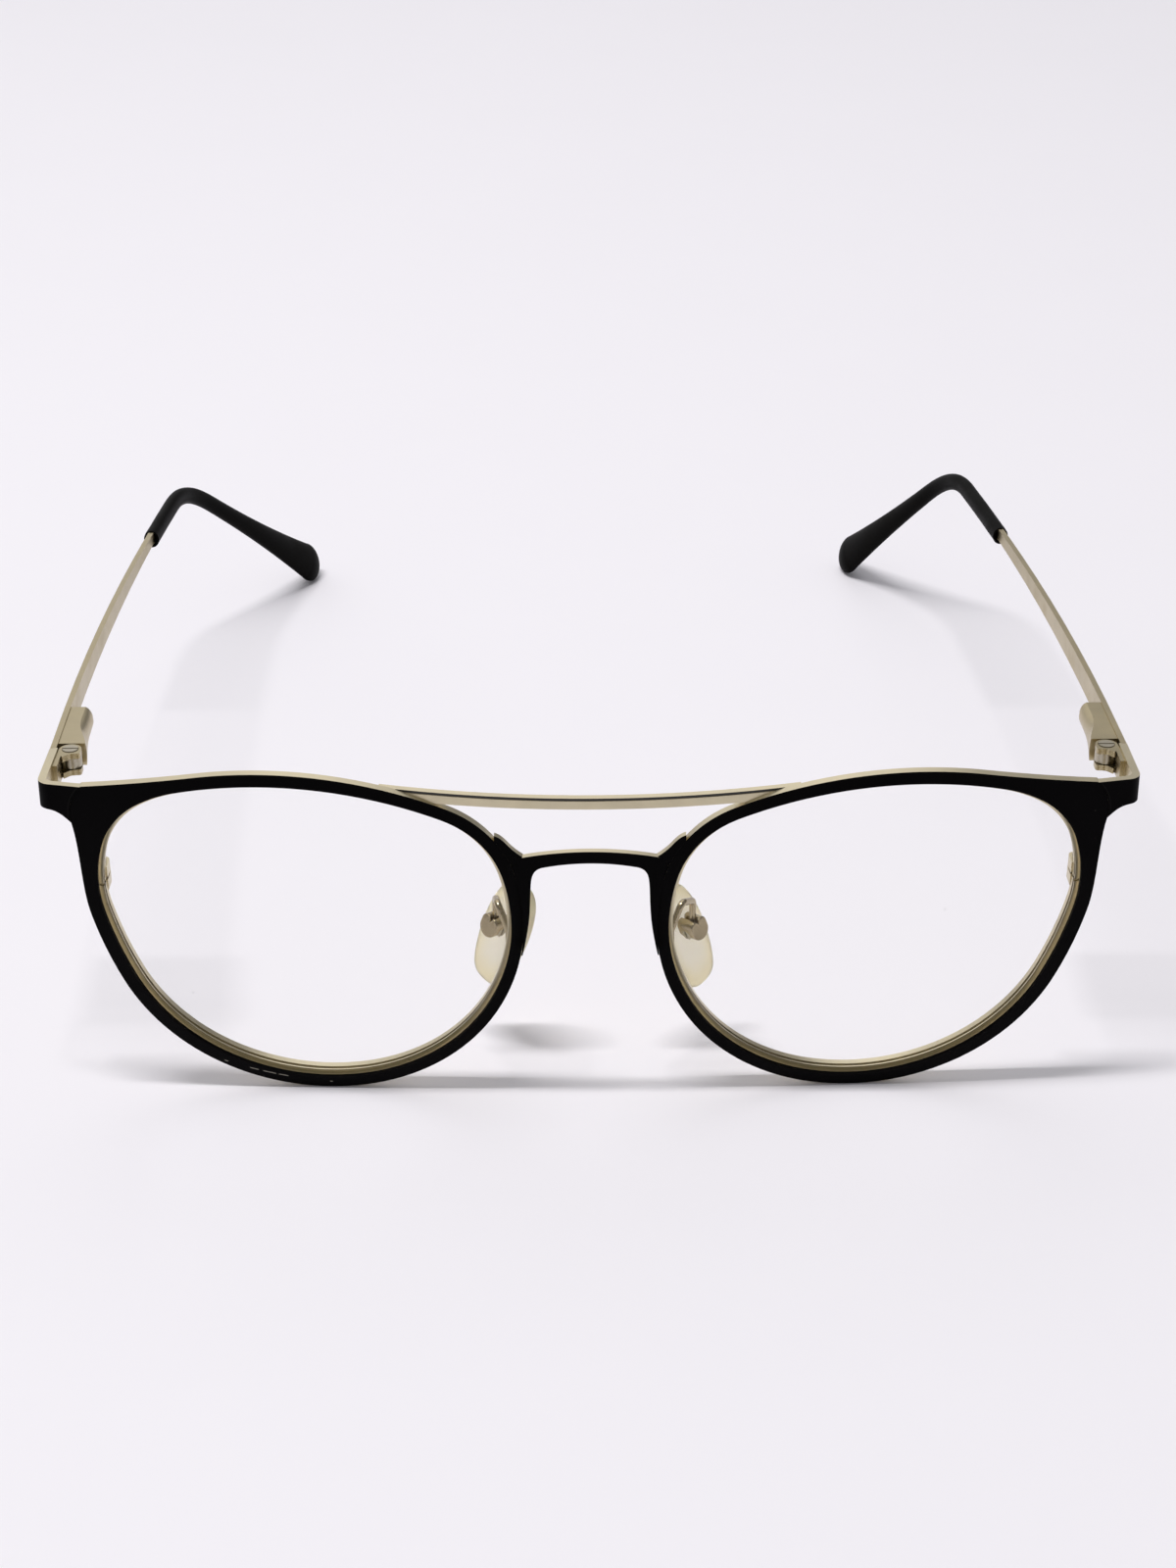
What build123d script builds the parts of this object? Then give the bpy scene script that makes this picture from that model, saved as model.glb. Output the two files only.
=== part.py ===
from build123d import *
import math
import os

# Double bridge glasses, millimetres.
# X runs across the face, +Y runs back along the temples, +Z is up.
# The wearer looks along -Y, so the wearer's left is +X and the wearer's right is -X.
# Every side part is built once for the wearer's left and mirrored for the right.

# Openings of the front, and the curve that the front follows
opening_width = 51.1
opening_gap = 19.7
outline_first_normal = -24.0
outline_turns = [10.0, 34.4, 37.6, 17.8, 39.2, 48.8, 46.2, 50.0, 40.0, 36.0]
outline_radius_shares = [1.153, 0.353, 0.224, 0.345, 0.977, 0.273, 0.509, 0.453]
front_curve_radius = 130.0
face_form_angle = 2.5

# Rims: black faced sheet in front, grooved wire behind
rim_width_above = 1.6
rim_width_below = 1.7
rim_temple_shift = 0.15
rim_sheet = 1.0
eyewire_depth = 1.45
eyewire_lap = 0.3
eyewire_inset = 0.55
groove_lip = 0.2
groove_depth = 0.5
groove_width = 0.45
lens_clearance = 0.03
lens_thickness = 1.4

# Flare of the rim and the seam where the end piece starts, from the opening's centre
flare_start_normal = 80.0
flare_foot_normal = -12.0
flare_foot_heading = 256.0
seam_top_out = 26.8
seam_top_up = 20.05
seam_foot_out = 28.3
seam_foot_up = 15.05
seam_bulge = 0.6

# End piece: bent sheet from the rim to the hinge
end_reach = 6.6
end_height = 3.3
end_rise = 0.5
end_bend_radius = 2.0
tab_length = 10.35
pin_inset = 2.5
end_foot_heading = 41.0
end_bite = 2.4
pantoscopic_angle = 6.5

# Closing block that clamps the eyewire round the lens
closing_height = 6.15
closing_split = 0.3
closing_block_height = 1.5
closing_block_width = 2.2
closing_block_depth = 2.3
closing_block_inset = 0.75
closing_block_round = 0.65
closing_screw_radius = 0.5
closing_head_radius = 0.8
closing_head_height = 0.45
screw_slot_width = 0.25
screw_slot_depth = 0.18

# Bridges
bridge_rise = 12.74
bridge_height = 1.6
bridge_sheet = 0.75
bridge_sag = 1.5
bridge_root_drop = 11.5
bridge_under_shares = [
    (0.69, 0.06), (0.85, 0.15), (0.88, 0.25), (0.893, 0.43), (0.915, 0.7), (0.955, 0.91), (1.02, 1.15),
]
bridge_web_shares = [(0.85, -0.72), (0.937, -0.22), (1.007, 0.27), (1.086, 0.9), (1.2, 1.45)]
bridge_web_heel_share = 1.2
bridge_root_out = 8.25
bridge_forward = 0.65
bar_rise = 20.25
bar_height = 1.35
bar_sag = 1.2
bar_half_span = 25.5
bar_depth = 0.9
bar_forward = 0.7
bar_line_height = 0.3
bar_line_depth = 0.12

# Hinge: fork on the end piece, knuckle on the sprung slider
knuckle_radius = 1.4
hinge_height = 3.0
knuckle_height = 1.4
knuckle_gap = 0.06
pin_radius = 0.6
pin_fit = 0.03
hinge_head_radius = 1.0
hinge_head_height = 0.3
hinge_head_proud = 0.08
fork_root = 5.0
fork_throat = 2.4
fork_edge_shares = [(-1.0, -0.25), (-0.88, -0.95), (-0.1, -1.12), (0.47, -1.68), (0.62, -2.8)]
flex_angle = 6.0
flex_clearance = 0.05

# Spring box on the temple and what it holds
box_front = 1.6
box_length = 11.25
box_top_side = [1.65, 1.1, 0.25, 0.1, 0.1]
box_middle_side = [1.75, 1.5, 1.25, 1.2, 1.1]
box_stations = [0.0, 0.2, 0.5, 0.75, 1.0]
box_rear_round = 1.0
box_rear_middle = 135.0
bore_radius = 0.85
bore_length = 6.8
neck_half_width = 0.65
neck_gap = 0.1
rod_radius = 0.36
rod_fit = 0.04
bush_length = 0.9
spring_turns = 6
spring_wire_radius = 0.13
spring_coil_radius = 0.63
spring_length = 4.5
collar_radius = 0.76
collar_length = 0.7

# Temple strip, the wire in the sleeve, and the sleeve
strip_thickness = 0.75
strip_straight = 11.75
strip_bow_radius = 800.0
strip_end_height = 1.6
mouth_distance = 78.75
left_bend_start = 99.35
right_bend_start = 93.85
bend_length = 16.4
left_tip_inward = 13.4
right_tip_inward = 17.0
left_tip_back = 22.4
right_tip_back = 25.4
core_height = 1.3
core_reach_share = 0.86
core_sections = 10
sleeve_drop = 0.3
sleeve_mouth_width = 2.3
sleeve_mouth_height = 2.6
sleeve_mouth_wall = 0.3
sleeve_mouth_depth = 0.8
paddle_width = 2.8
paddle_height = 6.5
sleeve_sections = 20
swell_start_share = 0.5
cap_fit_share = 0.004
right_rest_turn = -0.9
left_rest_turn = 0.9

# Nose pads
pad_length = 16.1
pad_width = 7.0
pad_thickness = 2.4
pad_round = 0.9
left_pad_out = 12.1
right_pad_out = 10.9
left_pad_up = 16.4
right_pad_up = 17.0
pad_back = 12.25
pad_splay = 47.0
pad_frontal = 15.0
pad_lean = 12.0
pad_outline_shares = [
    (0.0, 1.0), (0.68, 0.85), (1.0, 0.35), (0.98, -0.3), (0.66, -0.87),
    (0.0, -1.0), (-0.66, -0.87), (-0.98, -0.3), (-1.0, 0.35), (-0.68, 0.85),
]
lug_above_centre = 2.0
lug_thickness = 1.2
lug_half_height = 0.7
lug_waist_share = 0.7
lug_reach = 1.5
lug_hole_fit = 0.04
pad_screw_radius = 0.4
pad_head_radius = 0.7
pad_head_height = 0.35
clip_width = 2.8
clip_depth = 2.6
clip_height = 3.0
clip_wall = 0.4
clip_gap = 0.4
clip_side_gap = 0.15
clip_round = 0.5
clip_shoulder = 0.8
clip_lobe_share = 0.85
clip_notch = 0.6
arm_radius = 0.45
arm_bite = 0.22
arm_foot_drop = 3.3
arm_foot_back = 2.0
arm_foot_rise = 1.2
arm_loop_rise = 3.4
arm_loop_back = 1.3
arm_loop_out = 1.4
arm_drop = 3.6
arm_bend_radius = 0.8
arm_embed = 0.3

# One length by which cutters run past what they cut
overrun = 4.0


def normal_at(angle):
    """Unit vector of the outline's normal, for an angle in degrees."""
    return Vector(math.cos(math.radians(angle)), math.sin(math.radians(angle)))


def outline_arcs():
    """Arcs of the opening as (centre, radius, start, end), about the opening's own centre."""
    ends = [outline_first_normal]
    for turn in outline_turns:
        ends.append(ends[-1] + turn)
    steps = [normal_at(ends[i + 1]) - normal_at(ends[i]) for i in range(len(outline_turns))]
    drift = Vector(0, 0)
    for share, step in zip(outline_radius_shares, steps):
        drift = drift + step * share
    first, second = steps[-2], steps[-1]
    area = first.X * second.Y - first.Y * second.X
    closing = [
        (-drift.X * second.Y + drift.Y * second.X) / area,
        (-first.X * drift.Y + first.Y * drift.X) / area,
    ]
    shares = outline_radius_shares + closing
    centres = []
    point = Vector(0, 0)
    for i, share in enumerate(shares):
        centres.append(point - normal_at(ends[i]) * share)
        point = centres[-1] + normal_at(ends[i + 1]) * share
    right = centres[1].X + shares[1]
    left = centres[6].X - shares[6]
    top = centres[4].Y + shares[4]
    foot = centres[8].Y - shares[8]
    middle = Vector((right + left) / 2, (top + foot) / 2)
    scale = opening_width / (right - left)
    return [
        ((centres[i] - middle) * scale, shares[i] * scale, ends[i], ends[i + 1])
        for i in range(len(shares))
    ]


opening_arcs = outline_arcs()


def outline_point(angle, grow, shift):
    """Point of the grown and shifted outline where its normal has this angle."""
    for centre, radius, start, end in opening_arcs:
        if start <= angle <= end or start <= angle + 360 <= end:
            return centre + normal_at(angle) * (radius + grow) + shift


def outline_face(grow, shift=Vector(0, 0)):
    """Face inside the opening's outline, grown by a width and shifted."""
    edges = []
    for centre, radius, start, end in opening_arcs:
        ring = [
            centre + normal_at(angle) * (radius + grow) + shift
            for angle in (start, (start + end) / 2, end)
        ]
        edges.append(ThreePointArc(*ring))
    return make_face(edges)


opening_half_height = outline_point(90.0, 0, Vector(0, 0)).Y
rim_grow = (rim_width_above + rim_width_below) / 2
rim_shift = Vector(rim_temple_shift, (rim_width_above - rim_width_below) / 2)
centre_out = (opening_gap + opening_width) / 2
centre_up = opening_half_height + rim_width_below
prism_depth = opening_width / 2

lens_frame = Pos(centre_out, 0, centre_up) * Rot(0, 0, face_form_angle)


def prism(face, start=-overrun, depth=prism_depth):
    """Solid from a face drawn in X and Z, swept back from a start depth."""
    upright = Pos(0, start, 0) * (Plane.XZ * face)
    return extrude(upright, amount=depth, dir=(0, 1, 0))


def curved_sheet(near, far):
    """Layer of the front's ball between two depths behind its front surface."""
    centre = Pos(0, front_curve_radius, 0)
    return centre * (Sphere(front_curve_radius - near) - Sphere(front_curve_radius - far))


def front_point(out, up):
    """Point of the front surface in the lens frame, a distance out and up from the centre."""
    deep = front_curve_radius - math.sqrt(front_curve_radius**2 - out**2 - up**2)
    return Vector(out, deep, up)


def in_frame(frame, point):
    """Point moved by a frame."""
    return (frame * Pos(point)).position


# Rim outline with its flare towards the end piece
seam_top = Vector(seam_top_out, seam_top_up)
seam_foot = Vector(seam_foot_out, seam_foot_up)
seam_middle = (seam_top + seam_foot) * 0.5 + Vector(seam_bulge, seam_bulge / 2)


def rim_outline():
    """Filled face of the rim: the grown outline and its flare to the seam."""
    start = outline_point(flare_start_normal, rim_grow, rim_shift)
    foot = outline_point(flare_foot_normal, rim_grow, rim_shift)
    along_top = (seam_top - start).normalized()
    above = Spline([start, seam_top], tangents=[along_top, along_top])
    seam = ThreePointArc(seam_top, seam_middle, seam_foot)
    leaving = normal_at(flare_foot_normal + 90.0)
    below = Spline([seam_foot, foot], tangents=[normal_at(flare_foot_heading), leaving * -1])
    inside = Vector(0, 0)
    flare = make_face([above, seam, below, Line(foot, inside), Line(inside, start)])
    return outline_face(rim_grow, rim_shift) + flare


def make_rim():
    """Black faced sheet round the opening."""
    blank = prism(rim_outline()) - prism(outline_face(0))
    sheet = blank & curved_sheet(0, rim_sheet)
    return lens_frame * sheet


eyewire_back = rim_sheet + eyewire_depth
groove_near = rim_sheet + groove_lip
groove_far = groove_near + groove_width


def make_eyewire():
    """Grooved wire behind the sheet, split at the closing block."""
    ring = prism(outline_face(eyewire_lap)) - prism(outline_face(-eyewire_inset))
    ring = ring & curved_sheet(rim_sheet, eyewire_back)
    groove = prism(outline_face(groove_depth - eyewire_inset))
    groove = groove & curved_sheet(groove_near, groove_far)
    split = Pos(opening_width / 2, 0, closing_height) * Box(overrun, prism_depth, closing_split)
    return lens_frame * (ring - groove - split)


def make_lens():
    """Plain lens with a tongue that sits in the eyewire's groove."""
    near = rim_sheet + (eyewire_depth - lens_thickness) / 2
    body = prism(outline_face(-eyewire_inset - lens_clearance))
    body = body & curved_sheet(near, near + lens_thickness)
    tongue = prism(outline_face(groove_depth - eyewire_inset - lens_clearance))
    tongue = tongue & curved_sheet(groove_near + lens_clearance, groove_far - lens_clearance)
    return lens_frame * (body + tongue)


def make_closing():
    """Two blocks behind the eyewire's split ends, and the screw that pulls them together."""
    edge = opening_width / 2
    middle_out = edge - closing_block_inset + closing_block_width / 2
    back = front_point(middle_out, closing_height).Y + eyewire_back
    middle_back = back + closing_block_depth / 2
    blocks = {}
    for name, side in (("upper", 1), ("lower", -1)):
        up = closing_height + side * (closing_split + closing_block_height) / 2
        deep = closing_block_depth + eyewire_depth
        body = Pos(middle_out, back + (closing_block_depth - eyewire_depth) / 2, up)
        body = body * Box(closing_block_width, deep, closing_block_height)
        upright = body.edges().filter_by(Axis.Z).sort_by(Axis.Y)[-2:]
        body = fillet(upright, closing_block_round)
        wire = prism(outline_face(eyewire_lap)) & curved_sheet(0, eyewire_back)
        sheet = prism(rim_outline()) & curved_sheet(0, rim_sheet)
        blocks[name] = body - wire - sheet
    shank_length = closing_split + closing_block_height * 2
    shank = Pos(middle_out, middle_back, closing_height)
    shank = shank * Cylinder(closing_screw_radius, shank_length)
    head_up = closing_height + shank_length / 2 + closing_head_height / 2
    head = Pos(middle_out, middle_back, head_up)
    head = head * Cylinder(closing_head_radius, closing_head_height)
    slot_up = closing_height + shank_length / 2 + closing_head_height
    slot = Pos(middle_out, middle_back, slot_up)
    slot = slot * Box(overrun, screw_slot_width, screw_slot_depth * 2)
    screw = shank + head - slot
    upper = blocks["upper"] - shank
    lower = blocks["lower"] - shank
    return lens_frame * upper, lens_frame * lower, lens_frame * screw


# Side frame: origin on the hinge pin, +Y along the temple
seam_centre = (seam_top + seam_foot) * 0.5
front_angle = face_form_angle + math.degrees(math.asin(seam_centre.X / front_curve_radius))
seam_front = in_frame(lens_frame, front_point(seam_centre.X, seam_centre.Y))
corner_out = centre_out + opening_width / 2 + end_reach
corner_back = seam_front.Y + (corner_out - seam_front.X) * math.tan(math.radians(front_angle))
corner_up = centre_up + seam_centre.Y + end_rise
corner = Pos(corner_out, corner_back, corner_up)
side_frame = corner * Rot(-pantoscopic_angle, 0, 0) * Pos(-pin_inset, tab_length, 0)


def to_side(out, up):
    """Point of the front surface, given in the lens frame, as the side frame sees it."""
    world = lens_frame * Pos(front_point(out, up))
    return (side_frame.inverse() * world).position


flex_sine = math.sin(math.radians(flex_angle))
butt_inner = -((pin_inset - rim_sheet) * flex_sine + flex_clearance)
butt_outer = -(pin_inset * flex_sine + flex_clearance)


def make_end_piece():
    """Sheet that carries the black face round the corner and back to the hinge."""
    lead = Vector(math.cos(math.radians(front_angle)), math.sin(math.radians(front_angle)))
    square = Vector(-lead.Y, lead.X)
    outer_corner = Vector(pin_inset, -tab_length)
    start = outer_corner - lead * (end_reach + overrun)
    outer_end = Vector(pin_inset, butt_outer)
    inner_start = start + square * rim_sheet
    inner_x = pin_inset - rim_sheet
    slope = math.tan(math.radians(front_angle))
    inner_corner = Vector(inner_x, inner_start.Y + (inner_x - inner_start.X) * slope)
    inner_end = Vector(inner_x, butt_inner)
    outer = FilletPolyline(start, outer_corner, outer_end, radius=end_bend_radius)
    inner = FilletPolyline(
        inner_start, inner_corner, inner_end, radius=end_bend_radius - rim_sheet
    )
    plan = make_face(
        outer.edges() + inner.edges() + [Line(start, inner_start), Line(outer_end, inner_end)]
    )
    tall = extrude(plan, amount=end_height * 3, both=True)
    top = to_side(seam_top.X, seam_top.Y)
    foot = to_side(seam_foot.X, seam_foot.Y)
    half = end_height / 2
    far = pin_inset + overrun
    level = pin_inset - rim_sheet
    inside = Vector(top.X - end_bite, (top.Z + foot.Z) / 2)
    top_corner = Vector(top.X, top.Z)
    foot_corner = Vector(foot.X, foot.Z)
    below = Spline(
        [foot_corner, Vector(level, -half)],
        tangents=[normal_at(end_foot_heading), Vector(1, 0)],
    )
    mask = make_face(
        [
            Line(top_corner, Vector(far, half)),
            Line(Vector(far, half), Vector(far, -half)),
            Line(Vector(far, -half), Vector(level, -half)),
            below,
            Line(foot_corner, inside),
            Line(inside, top_corner),
        ]
    )
    cut = prism(mask, start=-tab_length * 2, depth=tab_length * 3)
    piece = side_frame * (tall & cut)
    return piece - lens_frame * prism(rim_outline())


def hinge_plan():
    """Plan of a fork plate: from the block to the round end about the pin."""
    wall = pin_inset - rim_sheet
    points = [Vector(x, y) * knuckle_radius for x, y in fork_edge_shares]
    root_inner = Vector(points[-1].X, -fork_root)
    root_outer = Vector(wall, -fork_root)
    cheek = Vector(wall, -knuckle_radius)
    outer = Vector(knuckle_radius, 0)
    inner = Vector(-knuckle_radius, 0)
    edges = [
        Line(root_outer, cheek),
        Line(cheek, outer),
        ThreePointArc(outer, Vector(0, knuckle_radius), inner),
        Line(inner, points[0]),
        Spline(points, tangents=[Vector(0, -1), Vector(0, -1)]),
        Line(points[-1], root_inner),
        Line(root_inner, root_outer),
    ]
    return make_face(edges)


def make_fork(end_piece):
    """Two plates and the block that joins them, brazed to the tab's inner face."""
    tall = extrude(hinge_plan(), amount=hinge_height / 2, both=True)
    throat_half = knuckle_height / 2 + knuckle_gap
    throat_length = fork_throat + knuckle_radius + overrun
    throat = Pos(0, throat_length / 2 - fork_throat, 0)
    throat = throat * Box(pin_inset * 4, throat_length, throat_half * 2)
    pin_hole = Cylinder(pin_radius, hinge_height * 2)
    seat_depth = hinge_head_height - hinge_head_proud
    seat = Pos(0, 0, hinge_height / 2 - seat_depth / 2)
    seat = seat * Cylinder(hinge_head_radius + pin_fit * 2, seat_depth)
    fork = side_frame * (tall - throat - pin_hole - seat)
    return fork - end_piece


def make_hinge_screw():
    """Screw that is the hinge's pin, its slotted head let into the upper plate."""
    seat_depth = hinge_head_height - hinge_head_proud
    shank_top = hinge_height / 2 - seat_depth
    length = shank_top + hinge_height / 2
    shank = Pos(0, 0, shank_top - length / 2) * Cylinder(pin_radius, length)
    head = Pos(0, 0, shank_top + hinge_head_height / 2)
    head = head * Cylinder(hinge_head_radius, hinge_head_height)
    slot = Pos(0, 0, shank_top + hinge_head_height)
    slot = slot * Box(overrun, screw_slot_width, screw_slot_depth * 2)
    return shank + head - slot


bush_end = box_front + bush_length
spring_end = bush_end + spring_length
collar_end = spring_end + collar_length
rod_end = collar_end + rod_radius


def along_temple(radius, start, end):
    """Round bar about the slider's axis between two distances from the pin."""
    bar = Cylinder(radius, end - start)
    return Pos(0, (start + end) / 2, 0) * Rot(90, 0, 0) * bar


def make_slider():
    """Knuckle between the fork plates, with the rod that runs into the spring box."""
    knuckle = Cylinder(knuckle_radius - pin_fit, knuckle_height)
    neck_end = box_front - neck_gap
    neck = Pos(0, neck_end / 2, 0) * Box(neck_half_width * 2, neck_end, neck_half_width * 2)
    rod = along_temple(rod_radius, neck_end / 2, rod_end)
    bore = Cylinder(pin_radius + pin_fit, hinge_height)
    return knuckle + neck + rod - bore


def make_spring():
    """Spring on the rod: one unbroken helix whose turns clear each other."""
    pitch = (spring_length - spring_wire_radius * 2) / spring_turns
    gap = pitch - spring_wire_radius * 2
    print("spring pitch", round(pitch, 3), "least gap between turns", round(gap, 3))
    path = Helix(pitch=pitch, height=pitch * spring_turns, radius=spring_coil_radius)
    section = Plane(origin=path @ 0, z_dir=path % 0) * Circle(spring_wire_radius)
    coil = sweep(section, path=path)
    return Pos(0, bush_end + spring_wire_radius, 0) * Rot(-90, 0, 0) * coil


def make_spring_box():
    """Box on the strip's inner face: square at the hinge, its side rounding off behind."""
    wall = pin_inset - strip_thickness
    half = hinge_height / 2
    faces = []
    for share, top_side, middle_side in zip(box_stations, box_top_side, box_middle_side):
        section = make_face(
            [
                Line(Vector(wall, -half), Vector(wall, half)),
                Line(Vector(wall, half), Vector(-top_side, half)),
                ThreePointArc(
                    Vector(-top_side, half), Vector(-middle_side, 0), Vector(-top_side, -half)
                ),
                Line(Vector(-top_side, -half), Vector(wall, -half)),
            ]
        )
        faces.append(Pos(0, box_front + box_length * share, 0) * (Plane.XZ * section))
    body = loft(faces)
    rear = box_front + box_length
    side = -box_middle_side[-1]
    corner_back = rear - box_rear_round
    plan = make_face(
        [
            Line(Vector(wall, box_front), Vector(wall, rear)),
            Line(Vector(wall, rear), Vector(side + box_rear_round, rear)),
            ThreePointArc(
                Vector(side + box_rear_round, rear),
                Vector(side + box_rear_round, corner_back) + normal_at(box_rear_middle) * box_rear_round,
                Vector(side, corner_back),
            ),
            Line(Vector(side, corner_back), Vector(side - overrun, corner_back)),
            Line(Vector(side - overrun, corner_back), Vector(side - overrun, box_front)),
            Line(Vector(side - overrun, box_front), Vector(wall, box_front)),
        ]
    )
    body = body & extrude(plan, amount=hinge_height, both=True)
    bore = along_temple(bore_radius, box_front - overrun, box_front + bore_length)
    return body - bore


def bow(distance):
    """Strip's middle line: how far out it is, a distance back from the pin."""
    past = max(distance - strip_straight, 0)
    drop = strip_bow_radius - math.sqrt(strip_bow_radius**2 - past**2)
    return pin_inset - strip_thickness / 2 - drop


def strip_plan(end):
    """Plan of the strip from its front end back to a distance from the pin."""
    sides = []
    for offset in (strip_thickness / 2, -strip_thickness / 2):
        points = [Vector(bow(at) + offset, at) for at in (strip_straight, (strip_straight + end) / 2, end)]
        front = Vector(bow(0) + offset, 0)
        sides.append((front, points))
    (front_out, out), (front_in, inn) = sides
    edges = [
        Line(front_out, out[0]),
        ThreePointArc(*out),
        Line(out[2], inn[2]),
        ThreePointArc(*inn[::-1]),
        Line(inn[0], front_in),
        Line(front_in, front_out),
    ]
    return make_face(edges)


tip_radius = paddle_height / 2
panto = math.radians(pantoscopic_angle)
pin_up = side_frame.position.Z


def sleeve_wire(bend_start, tip_inward, tip_back):
    """Sleeve's centre line as one wire; its far end is where the paddle's round end starts."""
    middle_at = (mouth_distance + bend_start) / 2
    mouth = Vector(bow(mouth_distance), mouth_distance, -sleeve_drop)
    middle = Vector(bow(middle_at), middle_at, -sleeve_drop)
    start = Vector(bow(bend_start), bend_start, -sleeve_drop)
    slope = (bend_start - strip_straight) / strip_bow_radius
    along = Vector(-slope, 1, 0).normalized()
    bend_middle = start + along * (bend_length / 2)
    end_back = bend_middle.Y + tip_back
    end_out = bend_middle.X - tip_inward
    end_up = (tip_radius - pin_up + end_back * math.sin(panto)) / math.cos(panto)
    end = Vector(end_out, end_back, end_up)
    down = (end - bend_middle).normalized()
    bend_end = bend_middle + down * (bend_length / 2)
    return Wire(
        [
            ThreePointArc(mouth, middle, start),
            Spline([start, bend_end], tangents=[along, down]),
            Line(bend_end, end),
        ]
    )


def across(wire, share):
    """Plane square to the sleeve's line at a share of its length, its X across the temple."""
    point = wire.position_at(share)
    ahead = wire.tangent_at(share)
    high = Vector(1, 0, 0).cross(ahead) * -1
    side = high.cross(ahead)
    return Plane(origin=point, x_dir=side, z_dir=ahead)


def make_sleeve(wire, core):
    """Soft sleeve that swells from its hollow mouth to a rounded paddle."""
    faces = []
    for i in range(sleeve_sections + 1):
        share = i / sleeve_sections
        swell = (max(share - swell_start_share, 0) / (1 - swell_start_share)) ** 2
        width = sleeve_mouth_width + (paddle_width - sleeve_mouth_width) * swell
        height = sleeve_mouth_height + (paddle_height - sleeve_mouth_height) * swell
        faces.append(across(wire, share) * Ellipse(width / 2, height / 2))
    cover = 1 + cap_fit_share
    cap = scale(Sphere(1), by=(paddle_width / 2 * cover, paddle_height / 2 * cover, tip_radius))
    mouth = across(wire, 0.0)
    hollow = mouth * Ellipse(
        sleeve_mouth_width / 2 - sleeve_mouth_wall, sleeve_mouth_height / 2 - sleeve_mouth_wall
    )
    hollow = extrude(hollow, amount=sleeve_mouth_depth)
    return loft(faces) + across(wire, 1.0).location * cap - core - hollow


def make_temple(wire):
    """Strip from the butt to the sleeve, and the wire that runs on inside the sleeve."""
    end = mouth_distance + strip_end_height
    tall = extrude(strip_plan(end), amount=end_height, both=True)
    half = end_height / 2
    small = strip_end_height / 2
    straight = box_front + box_length
    side = make_face(
        Polyline(
            (-overrun, -half), (straight, -half), (end, -small),
            (end, small), (straight, half), (-overrun, half), close=True,
        )
    )
    profile = Plane.YZ * side
    mask = extrude(profile, amount=overrun * 4, both=True)
    strip = tall & mask
    faces = []
    for i in range(core_sections + 1):
        plane = across(wire, core_reach_share * i / core_sections)
        faces.append(plane * Rectangle(strip_thickness, core_height))
    core = loft(faces)
    return strip + core


pad_turn = Rot(0, 0, pad_splay) * Rot(0, -pad_frontal, 0) * Rot(-pad_lean, 0, 0)
pad_face = -pad_thickness / 2
clip_back = pad_face - clip_gap
clip_middle = clip_back - clip_depth / 2
lug_axis_depth = pad_face - lug_reach


def make_pad():
    """Soft pad with the lug that the clip holds."""
    points = [
        Vector(w * pad_width / 2, l * pad_length / 2) for w, l in pad_outline_shares
    ]
    outline = make_face(Spline(*points, periodic=True))
    body = extrude(Pos(0, pad_face, 0) * (Plane.XZ * outline), amount=pad_thickness, dir=(0, 1, 0))
    body = fillet(body.edges(), pad_round)
    eye = Pos(0, lug_axis_depth, lug_above_centre) * Rot(0, 90, 0)
    eye = eye * Cylinder(lug_half_height, lug_thickness)
    stem = Pos(0, lug_axis_depth / 2, lug_above_centre)
    stem = stem * Box(lug_thickness, -lug_axis_depth, lug_half_height * 2 * lug_waist_share)
    hole = Pos(0, lug_axis_depth, lug_above_centre) * Rot(0, 90, 0)
    hole = hole * Cylinder(pad_screw_radius + lug_hole_fit, lug_thickness * 2)
    return body + eye + stem - hole


def make_clip():
    """Folded metal clip, open towards the pad: round below, two lobes above."""
    half = clip_width / 2
    low = lug_above_centre - (clip_height - clip_notch) / 2
    high = low + clip_height
    notch = high - clip_notch
    outline = make_face(
        [
            Line(Vector(0, notch), Vector(clip_notch / 2, high)),
            ThreePointArc(
                Vector(clip_notch / 2, high),
                Vector(half * clip_lobe_share, high - clip_round / 2),
                Vector(half, high - clip_shoulder),
            ),
            Line(Vector(half, high - clip_shoulder), Vector(half, low + half)),
            ThreePointArc(Vector(half, low + half), Vector(0, low), Vector(-half, low + half)),
            Line(Vector(-half, low + half), Vector(-half, high - clip_shoulder)),
            ThreePointArc(
                Vector(-half, high - clip_shoulder),
                Vector(-half * clip_lobe_share, high - clip_round / 2),
                Vector(-clip_notch / 2, high),
            ),
            Line(Vector(-clip_notch / 2, high), Vector(0, notch)),
        ]
    )
    front = clip_back - clip_depth
    body = extrude(Pos(0, front, 0) * (Plane.XZ * outline), amount=clip_depth, dir=(0, 1, 0))
    body = fillet(body.faces().sort_by(Axis.Y)[0].edges(), clip_wall / 2)
    pocket_width = lug_thickness + clip_side_gap * 2
    pocket_top = notch - clip_wall
    pocket_low = low + clip_wall
    pocket_depth = clip_depth - clip_wall
    pocket = Pos(
        0, clip_back - pocket_depth / 2 + overrun / 2, (pocket_top + pocket_low) / 2
    )
    pocket = pocket * Box(pocket_width, pocket_depth + overrun, pocket_top - pocket_low)
    axis = Pos(0, lug_axis_depth, lug_above_centre) * Rot(0, 90, 0)
    hole = axis * Cylinder(pad_screw_radius, clip_width * 2)
    head = Pos(-clip_width / 2 + pad_head_height / 2, lug_axis_depth, lug_above_centre)
    head = head * Rot(0, 90, 0) * Cylinder(pad_head_radius, pad_head_height)
    return body - pocket - hole - head


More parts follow.
